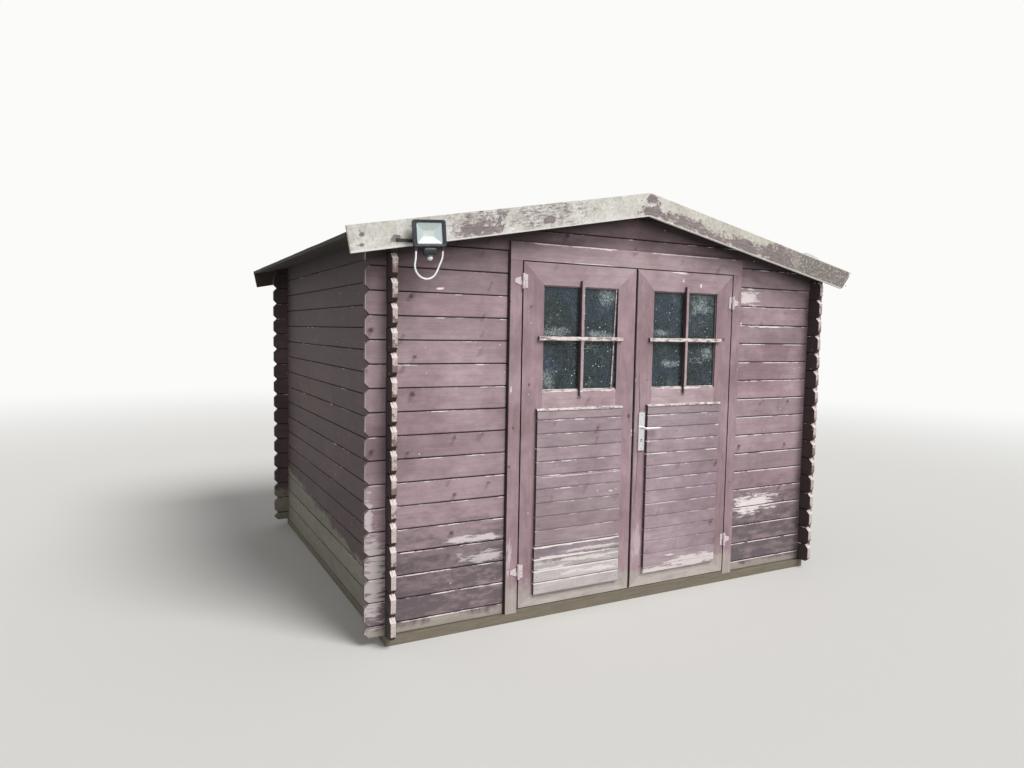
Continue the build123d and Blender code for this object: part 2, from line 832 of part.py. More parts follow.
# Route of the cable from gland to gland, measured from the middle of the lamp
cable_points = [
    (-59, -82), (-59, -112), (-66, -147), (-56, -178), (-30, -199), (-1, -203),
    (28, -188), (44, -160), (55, -130), (68, -103), (68, -73),
]
with BuildPart() as lamp_housing:
    with BuildSketch(lamp_plane(lamp_back_y)):
        RectangleRounded(lamp_width, lamp_height, lamp_corner)
    extrude(amount=lamp_depth)
    for end_x, end_z in (cable_points[0], cable_points[-1]):
        with BuildSketch(Plane.XY.offset(lamp_z + end_z)):
            with Locations((lamp_x + end_x, lamp_middle_y)):
                Circle(gland_radius)
        extrude(amount=gland_length)
    with BuildSketch(lamp_plane(lamp_front_y)):
        Rectangle(
            lamp_glass_width + 2 * lamp_glass_clearance,
            lamp_glass_height + 2 * lamp_glass_clearance,
        )
    extrude(amount=-lamp_glass_thickness, mode=Mode.SUBTRACT)
save(lamp_housing, "lamp_housing")

with BuildPart() as lamp_glass:
    with BuildSketch(lamp_plane(lamp_front_y)):
        Rectangle(lamp_glass_width, lamp_glass_height)
    extrude(amount=-lamp_glass_thickness)
save(lamp_glass, "lamp_glass")

# Motion sensor under the lamp, with a faceted lens that points down
sensor_bottom = lamp_height / 2 + sensor_height
with BuildPart() as motion_sensor:
    with BuildSketch(lamp_plane(lamp_middle_y - sensor_depth / 2)):
        with Locations((0, sensor_height / 2 - sensor_bottom)):
            Rectangle(sensor_width, sensor_height)
    extrude(amount=-sensor_depth)
    lens_top = Plane(
        origin=lamp_plane(lamp_middle_y).from_local_coords((0, -sensor_bottom, 0)),
        x_dir=lamp_plane(lamp_middle_y).x_dir,
        z_dir=-lamp_plane(lamp_middle_y).y_dir,
    )
    with BuildSketch(lens_top):
        RegularPolygon(lens_radius, lens_facets, major_radius=False)
    extrude(amount=lens_length)
    lens_nose = motion_sensor.faces().sort_by(Axis.Z)[0]
    chamfer(lens_nose.edges(), length=lens_bevel)
save(motion_sensor, "motion_sensor")

# Cable: a hanging loop from one gland to the other
route = [Vector(lamp_x + x, lamp_middle_y, lamp_z + z) for x, z in cable_points]
runs = [after - before for before, after in zip(route, route[1:])]
bends = []
for before, after in zip(runs, runs[1:]):
    half_turn = radians(before.get_angle(after)) / 2
    bends.append(cable_bend_share * min(before.length, after.length) / tan(half_turn))
print("cable bend radii:", [round(bend, 1) for bend in bends])
with BuildPart() as lamp_cable:
    with BuildLine() as cable_path:
        FilletPolyline(*route, radius=bends)
    with BuildSketch(Plane(origin=route[0], z_dir=runs[0])):
        RegularPolygon(cable_diameter / 2, cable_sides)
    sweep()
save(lamp_cable, "lamp_cable")
print("cable length:", round(sum(edge.length for edge in cable_path.edges()), 1))
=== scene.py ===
"""Looks of the log garden shed: finishes, loose detail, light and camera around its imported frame."""
import random
from math import cos, pi, radians, sin, tan

import bmesh
import bpy
from mathutils import Matrix, Vector


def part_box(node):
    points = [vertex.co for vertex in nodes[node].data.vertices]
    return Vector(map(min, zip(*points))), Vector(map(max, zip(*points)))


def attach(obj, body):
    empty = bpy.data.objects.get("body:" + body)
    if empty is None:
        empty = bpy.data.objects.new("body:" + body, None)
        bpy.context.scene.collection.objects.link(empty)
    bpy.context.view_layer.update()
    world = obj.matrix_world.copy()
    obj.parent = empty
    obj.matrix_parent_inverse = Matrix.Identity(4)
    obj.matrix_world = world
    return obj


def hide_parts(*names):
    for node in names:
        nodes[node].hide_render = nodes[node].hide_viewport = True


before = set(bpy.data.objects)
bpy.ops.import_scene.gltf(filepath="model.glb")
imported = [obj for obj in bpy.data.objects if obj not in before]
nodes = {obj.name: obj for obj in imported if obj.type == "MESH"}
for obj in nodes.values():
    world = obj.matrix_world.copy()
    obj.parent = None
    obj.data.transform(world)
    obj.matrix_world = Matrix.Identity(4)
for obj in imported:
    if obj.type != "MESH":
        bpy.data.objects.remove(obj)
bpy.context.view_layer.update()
chance = random.Random(1709)

# Camera
# It stands in front of the shed, left of the doors and at eye height. Its place, turn and
# focal length come from matching the shed's corners, so the shift stays at nought.
camera_place = Vector((-2.4466, -4.3605, 1.4952))
camera_yaw, camera_pitch, camera_roll = radians(27.981), radians(-4.190), radians(1.022)
sensor_width = 36.0
focal_pixels, picture_width = 718.8, 1024

forward = Vector((
    sin(camera_yaw) * cos(camera_pitch), cos(camera_yaw) * cos(camera_pitch), sin(camera_pitch)
))
level_right = Vector((cos(camera_yaw), -sin(camera_yaw), 0))
level_up = level_right.cross(forward)
camera_right = level_right * cos(camera_roll) + level_up * sin(camera_roll)
camera_up = level_up * cos(camera_roll) - level_right * sin(camera_roll)
camera_data = bpy.data.cameras.new("camera")
camera_data.sensor_width = sensor_width
camera_data.lens = sensor_width * focal_pixels / picture_width
camera = bpy.data.objects.new("camera", camera_data)
turn = Matrix((camera_right, camera_up, -forward)).transposed()
camera.matrix_world = Matrix.Translation(camera_place) @ turn.to_4x4()
bpy.context.collection.objects.link(camera)
bpy.context.scene.camera = camera

# Floor, backdrop and light
# A pale floor that keeps the shed's shadow and fades into a white backdrop well away from it. One
# broad light from the front right, high up, lights the doors, and the left wall and eaves are shaded.
# The floor is matt paint, so that it shows soft shade and no gloss.
floor_reach = 60.0
fade_start, fade_end = 4.5, 15.0
floor_grey, backdrop_white = "#d8d7d4", "#fbfbfa"
sky_level = 0.36
lamp_strength = 2.75
lamp_spread = radians(30)
lamp_from = Vector((0.40, -0.84, 1.05))


def linear(code):
    """Linear colour of an sRGB hex code."""
    parts = [int(code[i:i + 2], 16) / 255 for i in (1, 3, 5)]
    return [p / 12.92 if p <= 0.04045 else ((p + 0.055) / 1.055) ** 2.4 for p in parts] + [1]


def add(tree, kind, inputs=(), operation=None, **settings):
    """Add a node. Its inputs go by name, in order, or the first one alone. Each is a value, a
    colour's code, an output, or a node, whose first output it then reads."""
    made = tree.nodes.new("ShaderNode" + kind)
    if operation:
        made.operation = operation
    for name, value in settings.items():
        setattr(made, name, value)
    if not isinstance(inputs, dict):
        inputs = dict(enumerate(inputs if isinstance(inputs, tuple) else (inputs,)))
    for key, value in inputs.items():
        if isinstance(value, str):
            value = linear(value)
        if isinstance(value, bpy.types.Node):
            value = value.outputs[0]
        if isinstance(value, bpy.types.NodeSocket):
            tree.links.new(value, made.inputs[key])
        else:
            made.inputs[key].default_value = value
    return made


def new_finish(name):
    """Start a material: its tree, and its place in metres over the object."""
    finish = bpy.data.materials.new(name)
    finish.use_nodes = True
    finish.node_tree.nodes.clear()
    return finish, finish.node_tree, add(finish.node_tree, "TexCoord").outputs["Object"]


world = bpy.data.worlds.new("pale_sky")
world.use_nodes = True
sky = world.node_tree
sky.nodes.clear()
rays = add(sky, "LightPath").outputs
seen = add(sky, "Math", (rays["Is Camera Ray"], rays["Is Glossy Ray"]), "MAXIMUM")
seen = add(sky, "Math", (seen, rays["Is Transmission Ray"]), "MAXIMUM")
level = add(sky, "MapRange", (seen, 0, 1, sky_level, 1))
backdrop = add(sky, "Background", {"Color": backdrop_white, "Strength": level})
add(sky, "OutputWorld", {"Surface": backdrop})
bpy.context.scene.world = world
bpy.context.scene.view_settings.view_transform = "Standard"

lamp_data = bpy.data.lights.new("broad_light", "SUN")
lamp_data.energy = lamp_strength
lamp_data.angle = lamp_spread
lamp = bpy.data.objects.new("broad_light", lamp_data)
lamp.rotation_mode = "QUATERNION"
lamp.rotation_quaternion = lamp_from.to_track_quat("Z", "Y")
bpy.context.collection.objects.link(lamp)

floor_mesh = bpy.data.meshes.new("studio_floor")
floor_mesh.from_pydata(
    [(x * floor_reach, y * floor_reach, 0) for x, y in ((-1, -1), (1, -1), (1, 1), (-1, 1))],
    [], [(0, 1, 2, 3)],
)
studio_floor = bpy.data.objects.new("studio_floor", floor_mesh)
bpy.context.collection.objects.link(studio_floor)
floor_paint, tree, place = new_finish("studio_floor_matt")
away = add(tree, "VectorMath", place, "LENGTH").outputs["Value"]
fade = add(tree, "MapRange", (away, fade_start, fade_end), interpolation_type="SMOOTHSTEP")
fade = add(tree, "Math", (fade, add(tree, "LightPath").outputs["Is Camera Ray"]), "MULTIPLY")
matt = add(tree, "BsdfPrincipled", {"Base Color": floor_grey, "Roughness": 0.9})
glow = add(tree, "Emission", {"Color": backdrop_white, "Strength": 1.0})
add(tree, "OutputMaterial", add(tree, "MixShader", (fade, matt, glow)))
floor_mesh.materials.append(floor_paint)

# Lamp cable
# The white PVC cable of the lamp, 8 mm thick, which leaves one gland and goes back up into the
# other. Between them it hangs under its own weight. Smooth PVC has a soft broad sheen.
cable_diameter = 0.008
cable_grime = 1 / 90      # 11 mm
housing_low, housing_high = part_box("lamp_housing")
lamp_middle = Vector((-1.266, (housing_low[1] + housing_high[1]) / 2, 1.92267))
cable_route = [     # millimetres across and up from the middle of the lamp
    (-59, -82), (-59, -112), (-66, -147), (-56, -178), (-30, -199), (-1, -203),
    (28, -188), (44, -160), (55, -130), (68, -103), (68, -73),
]


def coats(tree, colour, *laid):
    """Lay coats over a colour one by one, each where its mask shows it."""
    for mask, coat in laid:
        colour = add(tree, "Mix", {0: mask, 6: colour, 7: coat}, data_type="RGBA").outputs[2]
    return colour


def close_finish(tree, inputs):
    """End a material with its surface shader."""
    add(tree, "OutputMaterial", add(tree, "BsdfPrincipled", inputs))


cable_curve = bpy.data.curves.new("hanging_cable", "CURVE")
cable_curve.dimensions = "3D"
cable_curve.bevel_depth = cable_diameter / 2
cable_curve.bevel_resolution = 5
cable_curve.resolution_u = 12
cable_curve.use_fill_caps = True
strand = cable_curve.splines.new("NURBS")
strand.points.add(len(cable_route) - 1)
for point, (across, up) in zip(strand.points, cable_route):
    point.co = (*(lamp_middle + Vector((across, 0, up)) / 1000), 1)
strand.order_u = 3
strand.use_endpoint_u = True
cable = bpy.data.objects.new("hanging_cable", cable_curve)
bpy.context.collection.objects.link(cable)
pvc, tree, place = new_finish("white_pvc")
grime = add(tree, "TexNoise", {"Vector": place, "Scale": 1 / cable_grime, "Detail": 3})
tint = coats(tree, "#ffffff", (grime, "#ebe9e4"))
close_finish(tree, {"Base Color": tint, "Roughness": 0.38, "IOR": 1.53})
cable_curve.materials.append(pvc)
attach(cable, "shed")
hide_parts("lamp_cable")

# Stained pine
# Planed pine under an opaque mauve-brown stain, rolled on long ago. Knots print through as dark soft
# spots with smears, joints and edges have chipped pale, and rain has bared the wood near the ground.
# Sizes are in metres, the wider one along the grain where there are two.
grain_width, grain_length = 0.007, 0.45       # real rings are 2 to 4 mm apart, drawn coarser to show
fading_size = 1 / 2.6                         # 380 mm, where sun has faded the stain
smudge_width, smudge_length = 1 / 26, 1 / 9   # 38 by 110 mm, where the roller left it thin
tear_width, tear_length = 1 / 60, 1 / 9       # 17 by 110 mm, the ragged edges of worn spots
splash_size = 1 / 9                           # 110 mm, the upper edge of the damp
knot_spacing, knot_rows, knot_radius = 0.21, 0.12, 0.010
knot_blur, knot_drop = 0.007, 0.014
smear_width, smear_length = 0.014, 0.026
fleck_spacing, fleck_radius = 0.13, 0.0038    # real chips are 1 to 3 mm, drawn larger to show
spot_depth = 0.2                              # a worn spot reaches as far behind its face as this
roof_slope = tan(radians(11.55))
ridge_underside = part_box("ridge_purlin")[1][2]
log_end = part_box("back_wall")[1][0]
log_chamfer = 0.022                           # corners cut off at the log ends


def along_grain(run, width, length):
    """Scale of a pattern that is this wide across the grain and this long along it."""
    return [1 / (length if axis == run else width) for axis in "XYZ"]


def tearing(tree, place, amount, scale):
    """Uneven offset that tears the edges of spots."""
    torn = add(tree, "Mapping", {"Vector": place, "Scale": scale})
    torn = add(tree, "TexNoise", {"Vector": torn, "Scale": 1, "Detail": 6, "Roughness": 0.72})
    return add(tree, "MapRange", (torn, 0.3, 0.7, -amount, amount))


def patch(tree, place, middle, reach, torn, soft):
    """Mask of a torn spot: 1 at its middle, 0 past its reach along each axis."""
    away = add(tree, "VectorMath", (place, middle), "SUBTRACT")
    away = add(tree, "VectorMath", (away, [1 / r for r in reach]), "MULTIPLY")
    away = add(tree, "VectorMath", away, "LENGTH").outputs["Value"]
    edge = add(tree, "Math", (away, torn), "ADD")
    return add(tree, "MapRange", (edge, 1 - soft, 1, 1, 0), interpolation_type="SMOOTHSTEP")


def spots(y, *rows):
    """Worn spots on an upright face. A row gives place, height, half width, half height, how bare."""
    return [((x, y, z), (wide, spot_depth, tall), bare) for x, z, wide, tall, bare in rows]


def knots(tree, along, across, uneven):
    """Masks of knots and of the smears beside them. Each knot has its own size and some have none."""
    pitch = (knot_spacing, knot_rows, 1)
    flat = add(tree, "CombineXYZ", (along, across))
    cells = add(tree, "VectorMath", (flat, pitch), "DIVIDE")
    cell = add(tree, "TexVoronoi", {"Vector": cells, "Scale": 1}, voronoi_dimensions="2D").outputs
    own = add(tree, "SeparateColor", cell["Color"]).outputs["Red"]
    gap = add(tree, "VectorMath", (cells, cell["Position"]), "SUBTRACT")
    gap = add(tree, "VectorMath", (gap, pitch), "MULTIPLY")
    wobble = add(tree, "MapRange", (uneven, 0.35, 0.65, -knot_blur, knot_blur))
    away = add(tree, "VectorMath", gap, "LENGTH").outputs["Value"]
    away = add(tree, "Math", (away, wobble), "ADD")
    size = add(tree, "MapRange", (own, 0.3, 1, -0.006, knot_radius))
    away = add(tree, "Math", (away, size), "SUBTRACT")
    knot = add(tree, "MapRange", (away, -knot_blur, 0.004, 0.8, 0))
    gap = add(tree, "SeparateXYZ", gap).outputs
    lean = add(tree, "Math", (gap["Y"], -0.5, gap["X"]), "MULTIPLY_ADD")
    drop = add(tree, "Math", (gap["Y"], knot_drop), "ADD")
    flow = add(tree, "CombineXYZ", (lean, drop))
    flow = add(tree, "VectorMath", (flow, (smear_width, smear_length, 1)), "DIVIDE")
    flow = add(tree, "VectorMath", flow, "LENGTH").outputs["Value"]
    blur = add(tree, "MapRange", (uneven, 0.35, 0.65, -0.6, 0.6))
    flow = add(tree, "Math", (flow, blur), "ADD")
    smear = add(tree, "MapRange", (flow, 0.2, 1.4, 0.42, 0), interpolation_type="SMOOTHSTEP")
    told = add(tree, "MapRange", (own, 0.35, 0.7))
    return knot, add(tree, "Math", (smear, told), "MULTIPLY")


def chips(tree, along, across):
    """Mask of the small flecks where the coat has come off."""
    flat = add(tree, "CombineXYZ", (along, across))
    cell = add(
        tree, "TexVoronoi", {"Vector": flat, "Scale": 1 / fleck_spacing}, voronoi_dimensions="2D"
    ).outputs
    own = add(tree, "SeparateColor", cell["Color"]).outputs["Green"]
    size = add(tree, "MapRange", (own, 0.62, 1, 0, fleck_radius / fleck_spacing))
    away = add(tree, "Math", (cell["Distance"], size), "SUBTRACT")
    return add(tree, "MapRange", (away, -0.006, 0, 0.85, 0))


def painted_side_shade(tree, full, none, amount):
    """Mask of painted shade on the faces that look left or down, which the light doesn't reach."""
    facing = add(tree, "SeparateXYZ", add(tree, "TexCoord").outputs["Normal"]).outputs
    left = add(tree, "MapRange", (facing["X"], full, none, amount, 0))
    under = add(tree, "MapRange", (facing["Z"], full, none, amount, 0))
    return add(tree, "Math", (left, under), "MAXIMUM")


def stained_pine(
    name, run, tones, course=0.0, first=0.0, edge_wear=0.5, grime=0.85, joint_fade=(0.0, 0.01, 1.0),
    foot=(0.0, 0.2), foot_rise=0.0, bare="#a89f95", marks=(), shade_lines=(), eaves_shade=None, soil_and_shade=0.0,
    stub_shade_ends=None, rim=False, shaded_sides=False, parted_below=0.0, sound_left=0.0, faded_log="#968a8b",
):
    """Stained pine with its grain along run. course and first give the joints of stacked boards, foot where
    damp has bared the wood and marks the worn spots. shade_lines paint shade along open gaps, and
    eaves_shade, stub_shade_ends and shaded_sides paint shade under the eaves, on the corner stubs and on
    faces turned from the light. soil_and_shade lays splashed soil with painted shade near the ground."""
    finish, tree, place = new_finish(name)
    parts = add(tree, "SeparateXYZ", place).outputs
    along, across, level = parts[run], parts["X" if run == "Z" else "Z"], parts["Z"]
    fine = add(tree, "Mapping", {"Vector": place, "Scale": along_grain(run, grain_width, grain_length)})
    grain = add(tree, "TexNoise", {
        "Vector": fine, "Scale": 1, "Detail": 4, "Roughness": 0.6, "Distortion": 0.4,
    })
    cloud = add(tree, "TexNoise", {
        "Vector": place, "Scale": 1 / fading_size, "Detail": 5, "Roughness": 0.62,
    })
    broad = add(tree, "Mapping", {"Vector": place, "Scale": along_grain(run, smudge_width, smudge_length)})
    smudge = add(tree, "TexNoise", {"Vector": broad, "Scale": 1, "Detail": 7, "Roughness": 0.68})

    # the coat itself, faded in places, with each board a little different
    faded = add(tree, "MapRange", (cloud, 0.40, 0.62))
    colour = coats(tree, tones[0], (faded, tones[1]))
    shade = add(tree, "MapRange", (smudge, 0.34, 0.66, 0.84, 1.12))
    streak = add(tree, "MapRange", (grain, 0.35, 0.65, 0.94, 1.05))
    shade = add(tree, "Math", (shade, streak), "MULTIPLY")
    if course:
        row = add(tree, "Math", (level, first), "SUBTRACT")
        row = add(tree, "Math", (row, course), "DIVIDE")
        number = add(tree, "Math", row, "FLOOR")
        height = add(tree, "Math", row, "FRACT")
        right = add(tree, "Math", (along, 0.0), "GREATER_THAN")
        parted = add(tree, "Math", (level, parted_below), "LESS_THAN")
        right = add(tree, "Math", (right, parted), "MULTIPLY")
        log = add(tree, "CombineXYZ", (number, right))
        own = add(tree, "TexWhiteNoise", {"Vector": log}, noise_dimensions="2D").outputs
        tone = add(tree, "MapRange", (own["Value"], 0, 1, 0.88, 1.09))
        shade = add(tree, "Math", (shade, tone), "MULTIPLY")
        greyer = add(tree, "SeparateColor", own["Color"]).outputs["Blue"]
        greyer = add(tree, "Math", (greyer, 0.35), "MULTIPLY")
        colour = coats(tree, colour, (greyer, faded_log))
    colour = add(tree, "VectorMath", {0: colour, "Scale": shade}, "SCALE")
    knot, smear = knots(tree, along, across, smudge)
    if run != "Z":
        colour = coats(tree, colour, (smear, "#5d474a"))
    colour = coats(tree, colour, (knot, "#453133"))

    # splashed soil with painted shade near the ground, and grey bare wood at the foot
    if soil_and_shade:
        soiled_and_shaded = add(tree, "MapRange", (level, 0.30, 0.80, 1.15, 0.55))
        soiled_and_shaded = add(tree, "Math", (soiled_and_shaded, smudge), "MULTIPLY")
        soiled_and_shaded = add(tree, "MapRange", (soiled_and_shaded, 0.34, 0.62, 0, soil_and_shade))
        colour = coats(tree, colour, (soiled_and_shaded, "#5a5054"))
    low = add(tree, "Math", (parts["Y"], -foot_rise, level), "MULTIPLY_ADD")
    damp = add(tree, "MapRange", (low, *foot, 1, 0))
    splash = add(tree, "TexNoise", {
        "Vector": place, "Scale": 1 / splash_size, "Detail": 8, "Roughness": 0.7,
    })
    damp = add(tree, "Math", (damp, splash), "ADD")
    damp = add(tree, "MapRange", (damp, 0.85, 1.02, 0, 0.9))
    grey = add(tree, "VectorMath", {0: linear(bare)[:3], "Scale": shade}, "SCALE")
    colour = coats(tree, colour, (damp, grey))

    # painted shade where the light doesn't reach: below the eaves, on the corner stubs past the wall ends,
    # and on faces turned left or down
    if eaves_shade:
        slope, top, depth, amount = eaves_shade
        slant = add(tree, "Math", parts["X"], "ABSOLUTE")
        up = add(tree, "Math", (slant, slope, level), "MULTIPLY_ADD")
        eaves_shade_mask = add(tree, "MapRange", (up, top - depth, top - 0.08, 0, amount))
        shade_stronger_left = add(tree, "MapRange", (parts["X"], -0.7, 0.9, 1, 0.45))
        eaves_shade_mask = add(tree, "Math", (eaves_shade_mask, shade_stronger_left), "MULTIPLY")
        shadow_under_eaves = add(tree, "MapRange", (up, top - 0.18, top - 0.10, 0, 0.92))
        eaves_shade_mask = add(tree, "Math", (eaves_shade_mask, shadow_under_eaves), "MAXIMUM")
        colour = coats(tree, colour, (eaves_shade_mask, "#221617"))
    if stub_shade_ends:
        # painted shade on the corner stubs that stand past the wall ends
        half = (stub_shade_ends[1] - stub_shade_ends[0]) / 2
        past = add(tree, "Math", (parts["Y"], sum(stub_shade_ends) / 2), "SUBTRACT")
        past = add(tree, "Math", past, "ABSOLUTE")
        past = add(tree, "MapRange", (past, half - 0.002, half + 0.006))
        past = add(tree, "Math", (past, 0.92), "MULTIPLY")
        colour = coats(tree, colour, (past, "#2c1e1e"))
    if shaded_sides:
        # painted shade on the faces that look left or down
        colour = coats(tree, colour, (painted_side_shade(tree, -0.75, -0.5, 0.88), "#2a1c1d"))

    # dirt in the joints, chipped edges, worn spots, and the rims of the log ends
    worn = chips(tree, along, across)
    torn = tearing(tree, place, 1.0, along_grain(run, tear_width, tear_length))
    if course:
        shown = add(tree, "MapRange", (level, *joint_fade, 1.0))
        dirt = add(tree, "MapRange", (height, 0.0030 / course, 0.0080 / course, grime, 0))
        dirt = add(tree, "Math", (dirt, shown), "MULTIPLY")
        colour = coats(tree, colour, (dirt, "#271a1c"))
        more = add(tree, "MapRange", (level, 0.3, 1.9, 1.3 * edge_wear, 0.7 * edge_wear))
        if sound_left:
            sounder = add(tree, "MapRange", (parts["X"], -0.6, 0.8, -sound_left, 0))
            more = add(tree, "Math", (more, sounder), "ADD")
        rubbed = add(tree, "Math", (torn, more), "ADD")
        rubbed = add(tree, "MapRange", (rubbed, 0.50, 0.75))
        top_edge = add(tree, "MapRange", (height, 1 - 0.0070 / course, 1 - 0.0045 / course))
        rubbed = add(tree, "Math", (rubbed, top_edge), "MULTIPLY")
        rubbed = add(tree, "Math", (rubbed, shown), "MULTIPLY")
        worn = add(tree, "Math", (worn, rubbed), "MAXIMUM")
    for middle, reach, amount in marks:
        spot = patch(tree, place, middle, reach, torn, soft=0.4)
        spot = add(tree, "Math", (spot, amount), "MULTIPLY")
        worn = add(tree, "Math", (worn, spot), "MAXIMUM")
    if rim:
        out = add(tree, "Math", parts["X"], "ABSOLUTE")
        flat_edge = add(tree, "Math", (log_end, out), "SUBTRACT")
        arch = add(tree, "Math", (height, 0.5), "SUBTRACT")
        arch = add(tree, "Math", arch, "ABSOLUTE")
        arch = add(tree, "Math", (arch, -course, flat_edge), "MULTIPLY_ADD")
        arch = add(tree, "Math", (arch, course / 2 - log_chamfer), "ADD")
        edge = add(tree, "Math", (flat_edge, arch), "MINIMUM")
        edge = add(tree, "MapRange", (edge, 0.0012, 0.0040, 0.50, 0))
        worn = add(tree, "Math", (worn, edge), "MAXIMUM")
    colour = coats(tree, colour, (worn, "#f2e8e7"))
    # painted shade along the gaps and beside proud parts
    for x, half_width, middle, half_height, amount in shade_lines:
        beside = add(tree, "Math", (torn, 0.0012, parts["X"]), "MULTIPLY_ADD")
        beside = add(tree, "Math", (beside, x, half_width), "COMPARE")
        within = add(tree, "Math", (level, middle, half_height), "COMPARE")
        line = add(tree, "Math", (beside, within), "MULTIPLY")
        line = add(tree, "Math", (line, amount), "MULTIPLY")
        colour = coats(tree, colour, (line, "#1e1314"))

    relief = add(tree, "Math", (grain, worn), "SUBTRACT")
    bump = add(tree, "Bump", {"Height": relief, "Strength": 0.35, "Distance": 0.0012})
    rough = add(tree, "MapRange", (cloud, 0, 1, 0.62, 0.85))
    close_finish(tree, {"Base Color": colour, "Roughness": rough, "Normal": bump, "IOR": 1.5})
    return finish


# Log walls
# Planed pine logs, 28 mm thick and 112 mm to a course, laid tongue over groove. Side logs lie half
# a course out of step with the front ones and cross them at the corners, past which all run on.
log_course = 0.112
low_arris, top_arris, end_arris = 0.0045, 0.0022, 0.0014
log_gap = 0.0015                   # half the slot left open by shrinkage
tongue_rise, tongue_width, tongue_lead = 0.003, 0.008, 0.001
station_pitch = 0.085
log_sway = 0.0008
face_steps = (-0.0004, 0.0010)     # how far a log's face stands out or in

side_low, side_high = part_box("left_wall")
right_low, right_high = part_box("right_wall")
front_low, front_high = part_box("front_wall_left")
front_right_low, front_right_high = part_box("front_wall_right")
back_low, back_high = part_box("back_wall")
log_thickness = side_high[0] - side_low[0]
wall_foot, face_y, back_y = side_low[2], front_low[1], back_high[1]
side_rows = [wall_foot + row * log_course for row in range(17)] + [side_high[2]]
cross_rows = [wall_foot] + [wall_foot + (row + 0.5) * log_course for row in range(17)]
gable_foot = cross_rows[-1]
gable_rows = [gable_foot + row * log_course for row in range(3)] + [ridge_underside]
room_x = (side_high[0], right_low[0])
room_y = (face_y + log_thickness, back_y - log_thickness)


def new_shape():
    """Start a mesh: its points, its faces, and which finish each face has."""
    return {"points": [], "faces": [], "marks": []}


def loft(shape, rings, side_mark=0, cap_marks=(0, 0)):
    """Join rings of points into a closed skin. side_mark is one finish, or says it by ring and side."""
    first, count = len(shape["points"]), len(rings[0])
    for ring in rings:
        shape["points"].extend(ring)
    for row in range(len(rings) - 1):
        low, high = first + row * count, first + (row + 1) * count
        for side in range(count):
            after = (side + 1) % count
            shape["faces"].append((low + side, low + after, high + after, high + side))
            shape["marks"].append(side_mark(row, side) if callable(side_mark) else side_mark)
    last = first + (len(rings) - 1) * count
    shape["faces"] += [tuple(range(first, first + count)), tuple(range(last, last + count))]
    shape["marks"].extend(cap_marks)


def build(name, shape, finishes, body, replaced=(), smooth=None):
    """Make the piece from its shape, and hang it on its body of the frame."""
    mesh = bpy.data.meshes.new(name)
    mesh.from_pydata([tuple(p) for p in shape["points"]], [], shape["faces"])
    for finish in finishes:
        mesh.materials.append(finish)
    mesh.polygons.foreach_set("material_index", shape["marks"])
    loose = bmesh.new()
    loose.from_mesh(mesh)
    bmesh.ops.recalc_face_normals(loose, faces=loose.faces)
    loose.to_mesh(mesh)
    loose.free()
    if smooth:
        mesh.shade_smooth()
        mesh.set_sharp_from_angle(angle=radians(smooth))
    piece = bpy.data.objects.new(name, mesh)
    bpy.context.collection.objects.link(piece)
    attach(piece, body)
    if replaced:
        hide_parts(*replaced)
    return piece


def underside(x):
    """Height of the roof boards' underside."""
    return ridge_underside - roof_slope * abs(x)


def log_profile(low, high, face, thickness, inset, tongue):
    """Section of a log: depth from the outer face, and height."""
    foot_cut = min(low_arris, (high - low) / 3)
    head_cut = min(top_arris, (high - low) / 3)
    near, far = face + inset, thickness - inset
    bottom, top = low + log_gap + inset, high - log_gap - inset
    start = (thickness - tongue_width) / 2
    end = start + tongue_width
    return [
        (near, low + foot_cut + inset), (near, (low + high) / 2), (near, high - head_cut - inset),
        (near + head_cut, top), (start, top), (start + tongue_lead, top + tongue),
        (end - tongue_lead, top + tongue), (end, top),
        (far - head_cut, top), (far, high - head_cut - inset), (far, low + foot_cut + inset),
        (far - foot_cut, bottom), (near + foot_cut, bottom),
    ]


def lay_log(shape, to_place, start, end, low, high, cut_start, cut_end, room, ceiling=None):
    """Lay one log from start to end. cut_start and cut_end say which ends have their corners cut."""
    face = chance.uniform(*face_steps)
    phases = [chance.uniform(0, 2 * pi) for _ in range(4)]
    inner_start = start + (log_chamfer if cut_start else end_arris)
    inner_end = end - (log_chamfer if cut_end else end_arris)
    steps = max(2, round((inner_end - inner_start) / station_pitch))
    stations = {inner_start + (inner_end - inner_start) * n / steps for n in range(steps + 1)}
    stations |= {edge for edge in room if inner_start < edge < inner_end}
    stations |= {start, start + end_arris, end - end_arris, end}
    stations = sorted(stations)
    rings = []
    for spot in stations:
        cut = 0.0
        if cut_start and spot < start + log_chamfer:
            cut = log_chamfer - (spot - start)
        if cut_end and spot > end - log_chamfer:
            cut = log_chamfer - (end - spot)
        sway = [log_sway * sin(spot * 3.1 + p) + log_sway / 2 * sin(spot * 9.7 + p) for p in phases]
        foot, top = low + sway[0] * 0.5 + cut, high + sway[1] * 0.5 - cut
        tongue = 0 if cut else tongue_rise
        if ceiling is not None and ceiling(spot) < top:
            top, tongue = ceiling(spot), 0
        top = max(top, foot + 0.004)
        inset = end_arris if spot in (start, end) else 0
        profile = log_profile(foot, top, face + sway[2] * 0.6, log_thickness, inset, tongue)
        rings.append([to_place(spot, depth, height) for depth, height in profile])

    def finish_of(row, side):
        middle = (stations[row] + stations[row + 1]) / 2
        at_cut = (cut_start and middle < inner_start) or (cut_end and middle > inner_end)
        if at_cut and side not in (0, 1, 9):
            return 1
        if side in (3, 4, 5, 6, 7, 11):
            return 3
        return 2 if side in (8, 9, 10) and room[0] < middle < room[1] else 0

    loft(shape, rings, finish_of, (1, 1))


